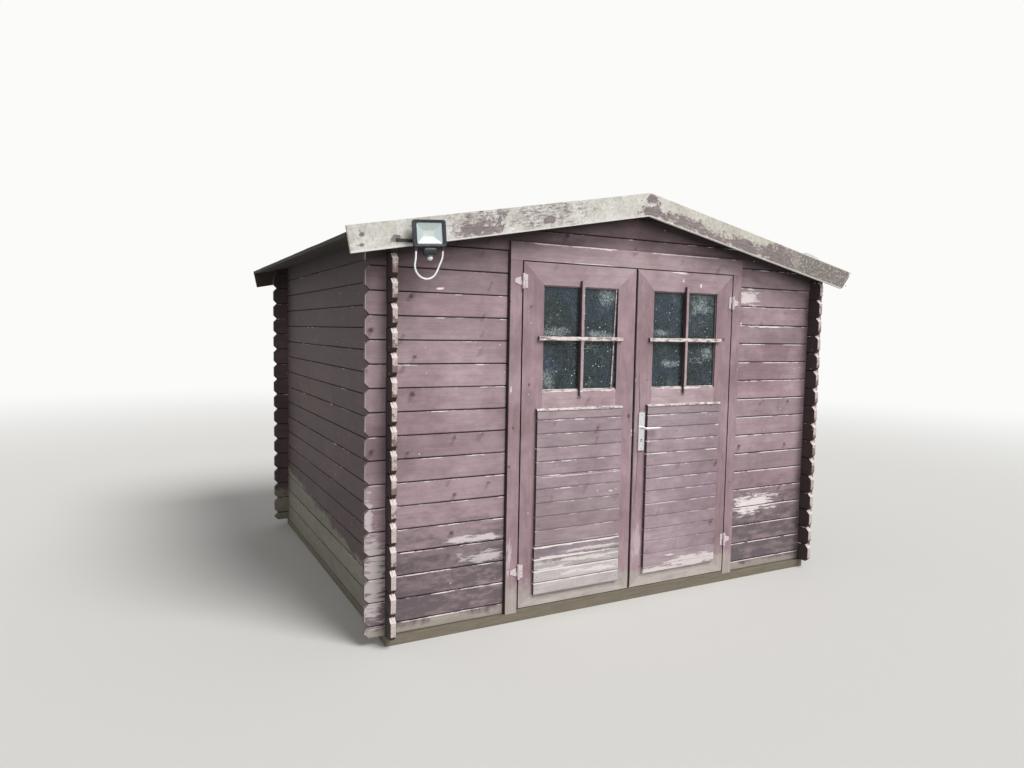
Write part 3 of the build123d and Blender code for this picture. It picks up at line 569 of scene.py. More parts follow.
def lay_wall(name, rows, to_place, start, end, cuts, finish, replaced, room, roof=None):
    """Stack the logs of one wall, from its lowest course up."""
    shape = new_shape()
    for low, high in zip(rows, rows[1:]):
        reach_start, reach_end, own_cuts = start, end, cuts
        if roof:
            reach_end = min(end, (ridge_underside - low) / roof_slope - 0.012)
            reach_start = -reach_end
            own_cuts = [cut and reach_end == end for cut in cuts]
        lay_log(shape, to_place, reach_start, reach_end, low, high, *own_cuts, room, ceiling=roof)
    finishes = (finish, end_grain, bare_pine, joint_dirt)
    build(name, shape, finishes, "shed", replaced)


# End grain of the logs
# The ends and cut corners never held the stain for long. What looks up has gone silver pale, made paler still
# by painted light, what looks down is nearly black with damp, old stain and painted shade, and what looks
# left is darkened as painted shade. Year rings and drying cracks stand open.
ring_pitch = 0.0035 * 2 * pi       # 22 mm: real rings are 2 to 4 mm apart, drawn coarser to show
wave_pitch = 2 * pi / 20           # of the wave pattern at a scale of 1
ring_bend, blotch_size, crack_spacing = 1 / 14, 1 / 26, 1 / 45     # 71, 38 and 22 mm
end_grain, tree, place = new_finish("weathered_end_grain")
bent = add(tree, "TexNoise", {"Vector": place, "Scale": 1 / ring_bend, "Detail": 2})
rings_at = add(tree, "VectorMath", (place, bent.outputs["Color"]), "ADD")
year_rings = add(
    tree, "TexWave",
    {"Vector": rings_at, "Scale": wave_pitch / ring_pitch, "Distortion": 2.5, "Detail": 2},
    wave_type="RINGS", rings_direction="SPHERICAL",
)
blotch = add(tree, "TexNoise", {"Vector": place, "Scale": 1 / blotch_size, "Detail": 7, "Roughness": 0.75})
level = add(tree, "SeparateXYZ", place).outputs["Z"]
row = add(tree, "Math", (level, wall_foot), "SUBTRACT")
row = add(tree, "Math", (row, log_course), "DIVIDE")
height = add(tree, "Math", row, "FRACT")
washed = add(tree, "MapRange", (height, 0.30, 0.80, 0.10, -0.10))
low_down = add(tree, "MapRange", (level, 0.3, 0.8, -0.10, 0))
blotch = add(tree, "Math", (blotch, washed), "ADD")
blotch = add(tree, "Math", (blotch, low_down), "ADD")
stain_left = add(tree, "MapRange", (blotch, 0.49, 0.56, 0, 0.92))
facing = add(tree, "SeparateXYZ", add(tree, "TexCoord").outputs["Normal"]).outputs
lit_and_rained = add(tree, "MapRange", (facing["Z"], 0.3, 0.6, 0, 0.85))
shaded_and_dry = add(tree, "MapRange", (facing["Z"], -0.6, -0.3, 0.95, 0))
shade_on_left = add(tree, "MapRange", (facing["X"], -0.8, -0.4, 0.85, 0))
crack = add(tree, "TexVoronoi", {"Vector": place, "Scale": 1 / crack_spacing}, feature="DISTANCE_TO_EDGE")
crack = add(tree, "MapRange", (crack, 0, 0.05, 0.4, 0))
tint = coats(
    tree, "#d8cac4", (year_rings, "#b5a5a0"), (stain_left, "#78605f"), (lit_and_rained, "#e6d9d6"),
    (shaded_and_dry, "#1f1514"), (shade_on_left, "#453637"), (crack, "#40352f"),
)
bump = add(tree, "Bump", {"Height": year_rings, "Strength": 0.3, "Distance": 0.0008})
close_finish(tree, {"Base Color": tint, "Roughness": 0.9, "Normal": bump})

# Bare pine of the inner faces, and the open joints
# Indoors the logs were left unstained and have yellowed to a dull honey. Between the courses the
# stain never reached, and dirt has turned the open slots nearly black.
indoor_veins = (2.2, 2.2, 120)     # 450 mm along the logs, 8 mm across
indoor_knots = 1 / 3.1             # 320 mm apart
lint_size = 1 / 120                # 8 mm
bare_pine, tree, place = new_finish("bare_pine_indoors")
streaks = add(tree, "Mapping", {"Vector": place, "Scale": indoor_veins})
veins = add(tree, "TexNoise", {"Vector": streaks, "Scale": 1, "Detail": 4, "Distortion": 0.6})
dots = add(tree, "TexVoronoi", {"Vector": place, "Scale": 1 / indoor_knots})
dots = add(tree, "MapRange", (dots, 0.03, 0.07, 0.7, 0))
tint = coats(tree, "#a78560", (veins, "#bf9f77"), (dots, "#6a4a30"))
bump = add(tree, "Bump", {"Height": veins, "Strength": 0.2, "Distance": 0.0006})
close_finish(tree, {"Base Color": tint, "Roughness": 0.7, "Normal": bump})
joint_dirt, tree, place = new_finish("dirt_in_log_joints")
lint = add(tree, "TexNoise", {"Vector": place, "Scale": 1 / lint_size, "Detail": 5})
close_finish(tree, {"Base Color": coats(tree, "#1f1718", (lint, "#3f3030")), "Roughness": 0.95})

# Stain of the log walls
# The same stain all round, but it has aged by side: rain and sun have chipped and bleached the front. The
# left wall and the back are given darker tones as painted shade and have greyed at the foot, and painted
# shade lies in a dark band under the eaves.
beside_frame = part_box("left_jamb")[0][0]
front_marks = spots(
    face_y,
    (0.862, 1.722, 0.085, 0.050, 0.75), (0.975, 0.455, 0.190, 0.064, 0.85),
    (0.875, 0.430, 0.060, 0.050, 0.90), (-1.145, 1.690, 0.018, 0.007, 0.95),
    (1.05, 1.549, 0.160, 0.005, 0.95), (0.807, 1.566, 0.008, 0.009, 0.95),
    (-1.465, 0.34, 0.070, 0.230, 0.52), (-1.490, 0.62, 0.022, 0.120, 0.50),
    (-0.95, 0.46, 0.160, 0.020, 0.60), (-0.90, 0.36, 0.120, 0.030, 0.50),
)
# Painted shade in the gaps beside the door frame, and faintly over the left corner.
front_shade_lines = (     # x, half width, middle height, half height, how dark
    (beside_frame - 0.002, 0.0048, 0.93, 0.96, 0.92), (-beside_frame + 0.002, 0.003, 0.93, 0.96, 0.80),
    (-1.447, 0.063, 1.10, 0.90, 0.13),
)
# Darker tones for the left wall and the back: painted shade.
painted_shade_tones, painted_shade_log, painted_shade_bare = ("#483739", "#5c4a4c"), "#5b4f4e", "#8b877b"
wall_ends = (face_y, back_y)
eaves_level = side_high[2] + 0.10
cross_eaves_shade = (roof_slope, ridge_underside, 0.62, 0.45)     # slope, top, depth, how dark
left_stain = stained_pine(
    "stained_pine_left_logs", "Y", painted_shade_tones, log_course, wall_foot, edge_wear=0.0, grime=0.7,
    foot=(0.24, 0.42), foot_rise=0.085, bare=painted_shade_bare, eaves_shade=(0.0, eaves_level, 0.95, 0.62),
    stub_shade_ends=wall_ends, faded_log=painted_shade_log,
)
right_stain = stained_pine(
    "stained_pine_right_logs", "Y", ("#84707a", "#a08b90"), log_course, wall_foot, edge_wear=0.3,
    foot=(0.02, 0.22), bare="#9d968a", eaves_shade=(0.0, eaves_level, 0.50, 0.75), stub_shade_ends=wall_ends,
)
front_stain = stained_pine(
    "stained_pine_front_logs", "X", ("#937980", "#b39aa2"), log_course, cross_rows[1], edge_wear=0.75,
    foot=(0.0, 0.16), marks=front_marks, shade_lines=front_shade_lines, eaves_shade=cross_eaves_shade, soil_and_shade=0.90, rim=True,
    parted_below=gable_foot, sound_left=0.40,
)
back_stain = stained_pine(
    "stained_pine_back_logs", "X", painted_shade_tones, log_course, cross_rows[1], edge_wear=0.1, grime=0.7,
    foot=(0.14, 0.36), bare=painted_shade_bare, eaves_shade=cross_eaves_shade, faded_log=painted_shade_log,
)


def on_front(x, depth, z):
    """Point of the front wall, at a depth behind its face."""
    return x, face_y + depth, z


def on_back(x, depth, z):
    """Point of the back wall, at a depth behind its face."""
    return x, back_y - depth, z


side_span, back_span, both = (side_low[1], side_high[1]), (back_low[0], back_high[0]), (True, True)
lay_wall(
    "left_wall_logs", side_rows, lambda y, depth, z: (side_low[0] + depth, y, z),
    *side_span, both, left_stain, ("left_wall",), room_y,
)
lay_wall(
    "right_wall_logs", side_rows, lambda y, depth, z: (right_high[0] - depth, y, z),
    *side_span, both, right_stain, ("right_wall",), room_y,
)
lay_wall(
    "front_left_logs", cross_rows, on_front, front_low[0], front_high[0], (True, False), front_stain,
    ("front_wall_left",), room_x,
)
lay_wall(
    "front_right_logs", cross_rows, on_front, front_right_low[0], front_right_high[0], (False, True),
    front_stain, ("front_wall_right",), room_x,
)
lay_wall(
    "front_gable_logs", gable_rows, on_front, *back_span, both, front_stain, ("front_gable",), room_x,
    roof=underside,
)
lay_wall("back_wall_logs", cross_rows, on_back, *back_span, both, back_stain, (), room_x)
lay_wall(
    "back_gable_logs", gable_rows, on_back, *back_span, both, back_stain, ("back_wall",), room_x,
    roof=underside,
)

# Door frame and leaf frames
# Jambs, stiles and bars stand upright and the rails and head lie level, each with its own run of
# grain. Planed softwood, mitred and stained with the walls, but pinker, and greyed by rain at its foot.
leaf_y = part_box("left_door_stiles")[0][1]
board_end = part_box("right_door_panel")[1][0]
frame_arris = 0.0016
frame_eaves_shade = (roof_slope, ridge_underside, 0.62, 0.22)
upright_marks = spots(
    leaf_y,
    # the spots at 0.959 and 0.936 m on the meeting edge are painted glints of the latch and dead bolt
    (0.0, 0.959, 0.012, 0.009, 0.95), (0.0, 0.936, 0.010, 0.007, 0.95), (0.004, 1.240, 0.012, 0.012, 0.95),
    (-0.760, 0.36, 0.014, 0.130, 0.38), (-0.765, 1.20, 0.006, 0.020, 0.70), (0.055, 0.33, 0.034, 0.100, 0.25),
)
# Painted shade in the gap between the leaves, beside the jambs and beside the panel boards.
upright_shade_lines = (
    (0.003, 0.0075, 0.95, 0.90, 0.97), (board_end, 0.0035, 0.62, 0.476, 0.88),
    (-0.087, 0.0025, 0.74, 0.360, 0.80), (0.7075, 0.0040, 0.95, 0.90, 0.85),
    (-0.7075, 0.0040, 0.95, 0.90, 0.85),
)
level_marks = spots(
    leaf_y,
    (0.30, 1.842, 0.055, 0.008, 0.95), (0.33, 1.800, 0.006, 0.014, 0.90), (0.46, 1.775, 0.006, 0.016, 0.90),
    (-0.35, 1.938, 0.300, 0.0045, 0.90), (0.35, 1.938, 0.320, 0.0040, 0.90),
    (-0.354, 1.1895, 0.235, 0.0052, 0.95), (0.354, 1.1895, 0.235, 0.0052, 0.95),
    (-0.30, 1.853, 0.200, 0.0030, 0.70),
)


def give_finish(name, finish):
    """Give a carried-over piece its one finish."""
    nodes[name].data.materials.clear()
    nodes[name].data.materials.append(finish)


def ease_edges(names, width, finish):
    """Round the arrises of carried-over pieces a little, as planing and wear do, and finish them."""
    for name in names:
        nodes[name].modifiers.new("weld", "WELD").merge_threshold = 0.00002
        bevel = nodes[name].modifiers.new("arris", "BEVEL")
        bevel.width = width
        bevel.segments = 2
        bevel.limit_method = "ANGLE"
        bevel.angle_limit = radians(35)
        bevel.harden_normals = False
        give_finish(name, finish)


upright_stain = stained_pine(
    "stained_pine_upright", "Z", ("#90777d", "#a88f96"), foot=(0.0, 0.30), bare="#aea49d",
    marks=upright_marks, shade_lines=upright_shade_lines, eaves_shade=frame_eaves_shade, shaded_sides=True,
)
level_stain = stained_pine(
    "stained_pine_level", "X", ("#a48c92", "#b8a3a8"), foot=(0.05, 0.26), bare="#b7afa8",
    marks=level_marks, eaves_shade=frame_eaves_shade, shaded_sides=True,
)
ease_edges(("left_jamb", "right_jamb", "left_door_stiles", "right_door_stiles"), frame_arris, upright_stain)
ease_edges(("door_head", "left_door_rails", "right_door_rails"), frame_arris, level_stain)

# Barge boards
# Planed boards 122 mm deep in old cream paint. It is sound at the left end, flaked to brown wood in
# patches beside the lamp, at the ridge and along the right board, and worn through at the right end.
barge_depth = 0.122
flake_streaks, ring_streaks = (24, 84, 1), (14, 210, 1)     # 42 by 12 mm, and 71 by 5 mm
flake_edges = (22, 22, 1)                                   # 45 mm
mottle_size, soot_size = 1 / 7, 1 / 70                      # 143 and 14 mm
board_low, board_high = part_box("front_barge_left")
left_slope = (board_high[2] - barge_depth - board_low[2]) / -board_low[0]
barge_wear = (     # along, depth below the upper edge, reach along, reach across, how bare
    (-1.557, 0.050, 0.014, 0.011, 0.55), (-1.557, 0.096, 0.014, 0.011, 0.55),
    (-1.400, 0.085, 0.034, 0.024, 0.50), (-1.035, 0.060, 0.210, 0.120, 0.21),
    (-0.990, 0.088, 0.130, 0.044, 0.22), (-0.640, 0.050, 0.400, 0.140, 0.19),
    (-0.620, 0.083, 0.040, 0.022, 0.40), (0.015, 0.032, 0.070, 0.036, 0.36),
    (0.015, 0.095, 0.120, 0.040, 0.34), (0.280, 0.088, 0.360, 0.056, 0.30),
    (0.680, 0.090, 0.130, 0.046, 0.40), (0.780, 0.085, 0.420, 0.070, 0.24),
    (1.000, 0.070, 0.190, 0.120, 0.29),
)
barge_paint, tree, place = new_finish("old_cream_paint")
spread = add(tree, "SeparateXYZ", place).outputs
on_left = add(tree, "Math", (spread["X"], 0.0), "LESS_THAN")
on_front_side = add(tree, "Math", (spread["Y"], 0.0), "LESS_THAN")
drooped = add(tree, "Math", (on_left, on_front_side), "MULTIPLY")
slope = add(tree, "MapRange", (drooped, 0, 1, roof_slope, left_slope))
slant = add(tree, "Math", spread["X"], "ABSOLUTE")
slant = add(tree, "Math", (slant, slope), "MULTIPLY")
depth = add(tree, "Math", (board_high[2], slant), "SUBTRACT")
depth = add(tree, "Math", (depth, spread["Z"]), "SUBTRACT")
board = add(tree, "CombineXYZ", (spread["X"], depth))

# where it has flaked
streaks = add(tree, "Mapping", {"Vector": board, "Scale": flake_streaks})
flake = add(tree, "TexNoise", {"Vector": streaks, "Scale": 1, "Detail": 9, "Roughness": 0.76})
density = add(tree, "MapRange", (on_front_side, 0, 1, 0.30, 0.205))
torn = tearing(tree, board, 0.45, flake_edges)
for middle, drop, reach, breadth, amount in barge_wear:
    near = patch(tree, board, (middle, drop, 0), (reach, breadth, 1), torn, soft=0.7)
    near = add(tree, "Math", (near, amount), "MULTIPLY")
    near = add(tree, "Math", (near, on_front_side), "MULTIPLY")
    density = add(tree, "Math", (density, near), "ADD")
flake_level = add(tree, "Math", (flake, density), "ADD")
wear = add(tree, "MapRange", (flake_level, 0.84, 0.99))

# cream paint, mottled and sooty, and buffer towards the right
cloud = add(tree, "TexNoise", {"Vector": place, "Scale": 1 / mottle_size, "Detail": 8, "Roughness": 0.76})
mottle = add(tree, "MapRange", (cloud, 0.34, 0.62))
buff = add(tree, "MapRange", (spread["X"], -0.2, 0.7, 0, 0.5))
cream = coats(tree, "#b9b4ab", (mottle, "#e6e4de"), (buff, "#beb6a4"))
soot = add(tree, "TexNoise", {"Vector": place, "Scale": 1 / soot_size, "Detail": 7, "Roughness": 0.75})
sooty = add(tree, "MapRange", (soot, 0.36, 0.56, 0.76, 1.04))
cream = add(tree, "VectorMath", {0: cream, "Scale": sooty}, "SCALE").outputs[0]

# bare wood, brown in the patches and grey with pale flecks at the right end
rings = add(tree, "Mapping", {"Vector": board, "Scale": ring_streaks})
rings = add(tree, "TexNoise", {"Vector": rings, "Scale": 1, "Detail": 5, "Roughness": 0.7})
rings = add(tree, "MapRange", (rings, 0.36, 0.64))
drift = add(tree, "Math", (cloud, 0.5, spread["X"]), "MULTIPLY_ADD")
gone = add(tree, "MapRange", (drift, 1.20, 1.42, 0, 0.92))
weak = add(tree, "MapRange", (flake, 0.35, 0.68))
flecks = add(tree, "MapRange", (soot, 0.53, 0.60, 0, 0.75))
grey_wood = coats(tree, "#5a514e", (weak, "#857b76"), (flecks, "#cbc6be"))
tint = coats(tree, cream, (wear, coats(tree, "#665758", (rings, "#9a8d8e"))), (gone, grey_wood))

# painted highlights along the lower edge and the right end, pale rubbed edges along the top where the paint
# has gone, and the unpainted inner faces at the back, darkened as painted shade
inward = add(tree, "SeparateXYZ", add(tree, "TexCoord").outputs["Normal"])
inward = add(tree, "Math", (inward.outputs["Y"], -0.5), "LESS_THAN")
# painted shade on the inner faces of the back boards
behind = add(tree, "Math", (1.0, on_front_side), "SUBTRACT")
behind = add(tree, "Math", (inward, behind), "MULTIPLY")
low_edge_highlight = add(tree, "MapRange", (depth, barge_depth - 0.006, barge_depth - 0.003, 0, 0.85))
high_edge = add(tree, "MapRange", (depth, 0.003, 0.006, 0.85, 0))
high_edge = add(tree, "Math", (high_edge, gone), "MULTIPLY")
end_edge_highlight = add(tree, "MapRange", (spread["X"], 1.598, 1.602, 0, 0.85))
highlights_and_rubbed_edges = add(tree, "Math", (low_edge_highlight, high_edge), "MAXIMUM")
highlights_and_rubbed_edges = add(tree, "Math", (highlights_and_rubbed_edges, end_edge_highlight), "MAXIMUM")
tint = coats(tree, tint, (highlights_and_rubbed_edges, "#e6e3dd"), (behind, "#3b332d"))
bump = add(tree, "Bump", {"Height": wear, "Strength": 0.5, "Distance": -0.0008})
close_finish(tree, {"Base Color": tint, "Roughness": 0.72, "Normal": bump})
ease_edges(
    [f"{end}_barge_{side}" for end in ("front", "back") for side in ("left", "right")], 0.002, barge_paint
)

# Roof timber
# Tongued boards nailed to three purlins, which the gables carry. Seen from below at the eaves they are dark
# brown, darkened further nearly to black as painted shade of the eaves, dry and matt, with the marks of the
# saw along them.
roof_saw_marks = (3, 110, 40)      # 330 mm along the boards, 9 and 25 mm across
roof_pine, tree, place = new_finish("dark_sawn_pine")
streaks = add(tree, "Mapping", {"Vector": place, "Scale": roof_saw_marks})
saw_marks = add(tree, "TexNoise", {"Vector": streaks, "Scale": 1, "Detail": 5, "Roughness": 0.65})
# the near-black tone is partly painted shade
tint = coats(tree, "#241d19", (saw_marks, "#4a3d35"))
bump = add(tree, "Bump", {"Height": saw_marks, "Strength": 0.4, "Distance": 0.001})
close_finish(tree, {"Base Color": tint, "Roughness": 0.85, "Normal": bump})
ease_edges(("ridge_purlin", "side_purlins"), 0.0015, roof_pine)
for name in ("roof_boards_left", "roof_boards_right"):
    give_finish(name, roof_pine)

# Roofing felt
# Sheets of mineral felt laid along the roof, each lapped over the one below and turned down at the
# eaves. Fine slate grit makes it matt and grey green, and moss has taken hold along the edges.
felt_low, felt_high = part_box("roofing_felt")
board_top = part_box("roof_boards_left")[1][2]
felt_thickness = 0.0025
felt_laps = (0.16, 0.72, 1.27)      # lower edges of the cap sheet and of the two sheets below it
lap_width = 0.09
felt_turn_down = 0.019
felt_rows = 110
grit_size = 1 / 420                 # 2.4 mm, about twice the real grit, so that it shows
bleach_size, moss_size = 1 / 1.6, 1 / 19      # 620 and 53 mm


def felt_height(x, y):
    """Top of the felt: its sheets, laps and slight wrinkles."""
    away = abs(x)
    height = board_top - roof_slope * away + felt_thickness
    for edge in felt_laps:
        if edge - lap_width < away <= edge:
            height += felt_thickness * (away - edge + lap_width) / lap_width
    wrinkle = sin(y * 7.3 + away * 3.1) * sin(away * 5.7 + y * 1.9) + 0.5 * sin(y * 17 + away * 11)
    return height + 0.0006 * wrinkle


def close_grid(shape, rows, columns):
    """Lay faces over a grid of points that was made row by row."""
    for row in range(rows):
        for column in range(columns):
            corner = row * (columns + 1) + column
            above = corner + columns + 1
            shape["faces"].append((corner, corner + 1, above + 1, above))
            shape["marks"].append(0)


def thicken(piece, thickness, offset):
    """Give a sheet its thickness, on the side that offset says."""
    solid = piece.modifiers.new("felt_body", "SOLIDIFY")
    solid.thickness = thickness
    solid.offset = offset


felt_stops = [0.0]
for edge in felt_laps:
    felt_stops += [edge - lap_width, edge - lap_width / 2, edge, edge + 0.0008]
felt_stops += [0.03, 0.35, 0.5, 0.9, 1.05, 1.4, 1.52, felt_high[0] - 0.004, felt_high[0] - 0.0005]
felt_stops = sorted(felt_stops)
felt_xs = [-x for x in reversed(felt_stops[1:])] + felt_stops
felt = new_shape()
for row in range(felt_rows + 1):
    y = felt_low[1] + (felt_high[1] - felt_low[1]) * row / felt_rows
    line = [(x, y, felt_height(x, y)) for x in felt_xs]
    hem = 0.0012 * sin(y * 23) + 0.0008 * sin(y * 61)
    left, right = line[0], line[-1]
    line.insert(0, (left[0] - 0.0005, y, left[2] - felt_turn_down + hem))
    line.append((right[0] + 0.0005, y, right[2] - felt_turn_down + hem))
    felt["points"].extend(line)
close_grid(felt, felt_rows, len(felt_xs) + 1)
mineral_felt, tree, place = new_finish("mineral_felt")
grit = add(tree, "TexNoise", {"Vector": place, "Scale": 1 / grit_size, "Detail": 2})
fade = add(tree, "TexNoise", {"Vector": place, "Scale": 1 / bleach_size, "Detail": 6, "Roughness": 0.65})
pale = add(tree, "MapRange", (fade, 0.42, 0.62, 0, 0.45))
reach = add(tree, "Math", add(tree, "SeparateXYZ", place).outputs["X"], "ABSOLUTE")
moss = add(tree, "MapRange", (reach, 1.30, 1.60, 0.28, 0.44))
clump = add(tree, "TexNoise", {"Vector": place, "Scale": 1 / moss_size, "Detail": 8, "Roughness": 0.75})
moss = add(tree, "Math", (moss, clump), "SUBTRACT")
moss = add(tree, "MapRange", (moss, 0, 0.06, 0, 0.85))
green = coats(tree, "#5b5f3c", (grit, "#8f9268"))
# painted shade on the turned-down edge at the eaves
turned_down_shade = add(tree, "Math", (reach, felt_high[0] - 0.0012), "GREATER_THAN")
turned_down_shade = add(tree, "Math", (turned_down_shade, 0.85), "MULTIPLY")
tint = coats(tree, "#34372f", (grit, "#5c5f52"), (pale, "#7b7d70"), (moss, green), (turned_down_shade, "#23241f"))
relief = add(tree, "Math", (grit, moss), "ADD")
bump = add(tree, "Bump", {"Height": relief, "Strength": 0.6, "Distance": 0.001})
close_finish(tree, {"Base Color": tint, "Roughness": 0.95, "Normal": bump})
felt_sheet = build("felt_sheets", felt, (mineral_felt,), "shed", ("roofing_felt",))
thicken(felt_sheet, felt_thickness, -1 if felt_sheet.data.polygons[0].normal.z > 0 else 1)

# Lifted felt
# A torn tongue of the felt stands up at the front edge over the right barge board and curls back.
# What shows is its pale fibre backing, which the weather has bleached matt and patchy.
tongue_start, tongue_end = 1.165, 1.355
tongue_lift, tongue_curl = 0.027, 0.014
tongue_columns, tongue_rows = 18, 8
fibre_size = 1 / 90                 # 11 mm tufts
tongue = new_shape()
for row in range(tongue_rows + 1):
    share = row / tongue_rows
    for column in range(tongue_columns + 1):
        across = column / tongue_columns
        x = tongue_start + (tongue_end - tongue_start) * across
        bulge = min(across / 0.45, 1.0) ** 0.8 * min((1 - across) / 0.12, 1.0) ** 0.5
        rise = tongue_lift * bulge * sin(share * pi / 2) * (0.90 + 0.10 * sin(across * 21))
        y = felt_low[1] + 0.001 + tongue_curl * (1 - cos(share * pi / 2))
        y += 0.002 * bulge * sin(across * 9)
        tongue["points"].append((x, max(y, felt_low[1]), felt_height(x, y) + 0.0004 + rise))
close_grid(tongue, tongue_rows, tongue_columns)
backing, tree, place = new_finish("bleached_felt_backing")
fibre = add(tree, "TexNoise", {"Vector": place, "Scale": 1 / fibre_size, "Detail": 6, "Roughness": 0.7})
fibre = add(tree, "MapRange", (fibre, 0.35, 0.60))
bump = add(tree, "Bump", {"Height": fibre, "Strength": 0.4, "Distance": 0.0008})
close_finish(tree, {
    "Base Color": coats(tree, "#8e928d", (fibre, "#dfe2df")), "Roughness": 0.9, "Normal": bump,
})
tongue_piece = build("lifted_felt", tongue, (backing,), "shed", smooth=60)
thicken(tongue_piece, 0.002, -1 if tongue_piece.data.polygons[0].normal.y < 0 else 1)

# Floor, joists and sill beams
# Tongued pine boards nailed across joists, on beams of pressure-treated sawn timber that carry the
# walls. The boards are dusty and foot-worn, and the beams are grey green with a coarse saw cut.
floor_veins = (2.2, 95, 30)        # 450 mm along the boards, 11 and 33 mm across
beam_saw_marks = (9, 9, 90)        # 110 mm along, 11 mm across
dust_size = 1 / 3.3                # 300 mm
floor_pine, tree, place = new_finish("dusty_floor_pine")
streaks = add(tree, "Mapping", {"Vector": place, "Scale": floor_veins})
veins = add(tree, "TexNoise", {"Vector": streaks, "Scale": 1, "Detail": 5, "Distortion": 0.5})
dust = add(tree, "TexNoise", {"Vector": place, "Scale": 1 / dust_size, "Detail": 6, "Roughness": 0.7})
dust = add(tree, "MapRange", (dust, 0.42, 0.62, 0, 0.6))
tint = coats(tree, "#9c7f58", (veins, "#b99a6f"), (dust, "#9d9588"))
bump = add(tree, "Bump", {"Height": veins, "Strength": 0.25, "Distance": 0.0007})
close_finish(tree, {"Base Color": tint, "Roughness": 0.8, "Normal": bump})
give_finish("floor_boards", floor_pine)
sawn_timber, tree, place = new_finish("treated_sawn_timber")
streaks = add(tree, "Mapping", {"Vector": place, "Scale": beam_saw_marks})
saw_marks = add(tree, "TexNoise", {"Vector": streaks, "Scale": 1, "Detail": 6, "Roughness": 0.7})
tint = coats(tree, "#5a5347", (saw_marks, "#8c8372"))
bump = add(tree, "Bump", {"Height": saw_marks, "Strength": 0.5, "Distance": 0.0012})
close_finish(tree, {"Base Color": tint, "Roughness": 0.9, "Normal": bump})
ease_edges(("sill_beams", "floor_joists", "threshold"), 0.002, sawn_timber)

# Flaked stain on ledges
# Where rain stands on a ledge the stain has come off in flakes, down to pale dry wood. Undersides and the
# faces turned from the light are darkened as painted shade.
ledge_flakes = (26, 70, 70)        # 38 mm along the ledge, 14 mm across
flaked_stain, tree, place = new_finish("flaked_stain")
streaks = add(tree, "Mapping", {"Vector": place, "Scale": ledge_flakes})
flakes = add(tree, "TexNoise", {"Vector": streaks, "Scale": 1, "Detail": 7, "Roughness": 0.75})
flakes = add(tree, "MapRange", (flakes, 0.42, 0.53))
tint = coats(tree, "#8a7378", (flakes, "#e6dcd9"), (painted_side_shade(tree, -0.9, -0.6, 0.9), "#2a1c1d"))
bump = add(tree, "Bump", {"Height": flakes, "Strength": 0.4, "Distance": -0.0006})
close_finish(tree, {"Base Color": tint, "Roughness": 0.8, "Normal": bump})

# Door panels
# Tongued boards pinned on the face of each leaf, under a weather bead whose paint has flaked off.
# The left leaf has a separate, greyer panel of four boards at its foot, where rain splashes it.
board_gap, board_arris, board_pitch = 0.0005, 0.0014, 0.072
top_board, least_board = 0.059, 0.02      # the highest board with its bead, and the least for the lowest
end_round, board_steps = 0.001, (0, 0.0006)
bead_height, bead_proud, bead_lap, bead_chamfer = 0.012, 0.004, 0.004, 0.004
bead_stations, bead_wear = 12, (0, 0.0007)
wet_wood = "#bdb6b0"
panel_low, panel_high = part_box("left_door_panel")
panel_y = panel_low[1] + bead_proud
panel_marks = spots(
    panel_y,
    (0.46, 0.166, 0.260, 0.046, 0.62), (0.24, 0.150, 0.250, 0.026, 0.62), (0.56, 0.188, 0.110, 0.030, 0.62),
    (0.28, 0.225, 0.040, 0.006, 0.70), (-0.15, 0.640, 0.012, 0.008, 0.60),
    (-0.35, 0.745, 0.260, 0.0035, 0.60),
)
panel_stain = stained_pine(
    "stained_pine_panels", "X", ("#958088", "#ad99a1"), board_pitch, panel_high[2] - top_board,
    edge_wear=0.42, grime=0.50, joint_fade=(0.30, 0.80, 0.20), foot=(0.02, 0.20), bare=wet_wood,
    marks=panel_marks, shaded_sides=True, parted_below=panel_high[2],
)
kick_low, kick_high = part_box("left_door_kick_panel")
kick_rows = 4
kick_board = (kick_high[2] - kick_low[2]) / kick_rows
kick_middle = (kick_low[0] + kick_high[0]) / 2
kick_marks = spots(kick_low[1], *[
    (kick_middle + shift, kick_low[2] + rise, wide, tall, bare)
    for shift, rise, wide, tall, bare in (
        (0.00, 0.250, 0.28, 0.006, 0.90), (0.05, 0.212, 0.24, 0.008, 0.55), (-0.08, 0.190, 0.24, 0.007, 0.85),
        (0.08, 0.160, 0.26, 0.014, 0.55), (-0.10, 0.126, 0.20, 0.010, 0.70), (0.10, 0.090, 0.20, 0.014, 0.50),
    )
])
kick_stain = stained_pine(
    "worn_pine_kick_panel", "X", ("#82747a", "#9d9096"), kick_board, kick_low[2], edge_wear=0.7,
    grime=0.6, foot=(0.20, 0.40), bare="#bdb6b4", marks=kick_marks, shaded_sides=True,
)


def plank_profile(low, high, thickness, inset):
    """Section of a panel board: depth from its face, and height."""
    bottom, top = low + board_gap + inset, high - board_gap - inset
    return [
        (inset, low + board_arris + inset), (inset, high - board_arris - inset),
        (board_arris, top), (thickness, top), (thickness, bottom), (board_arris, bottom),
    ]


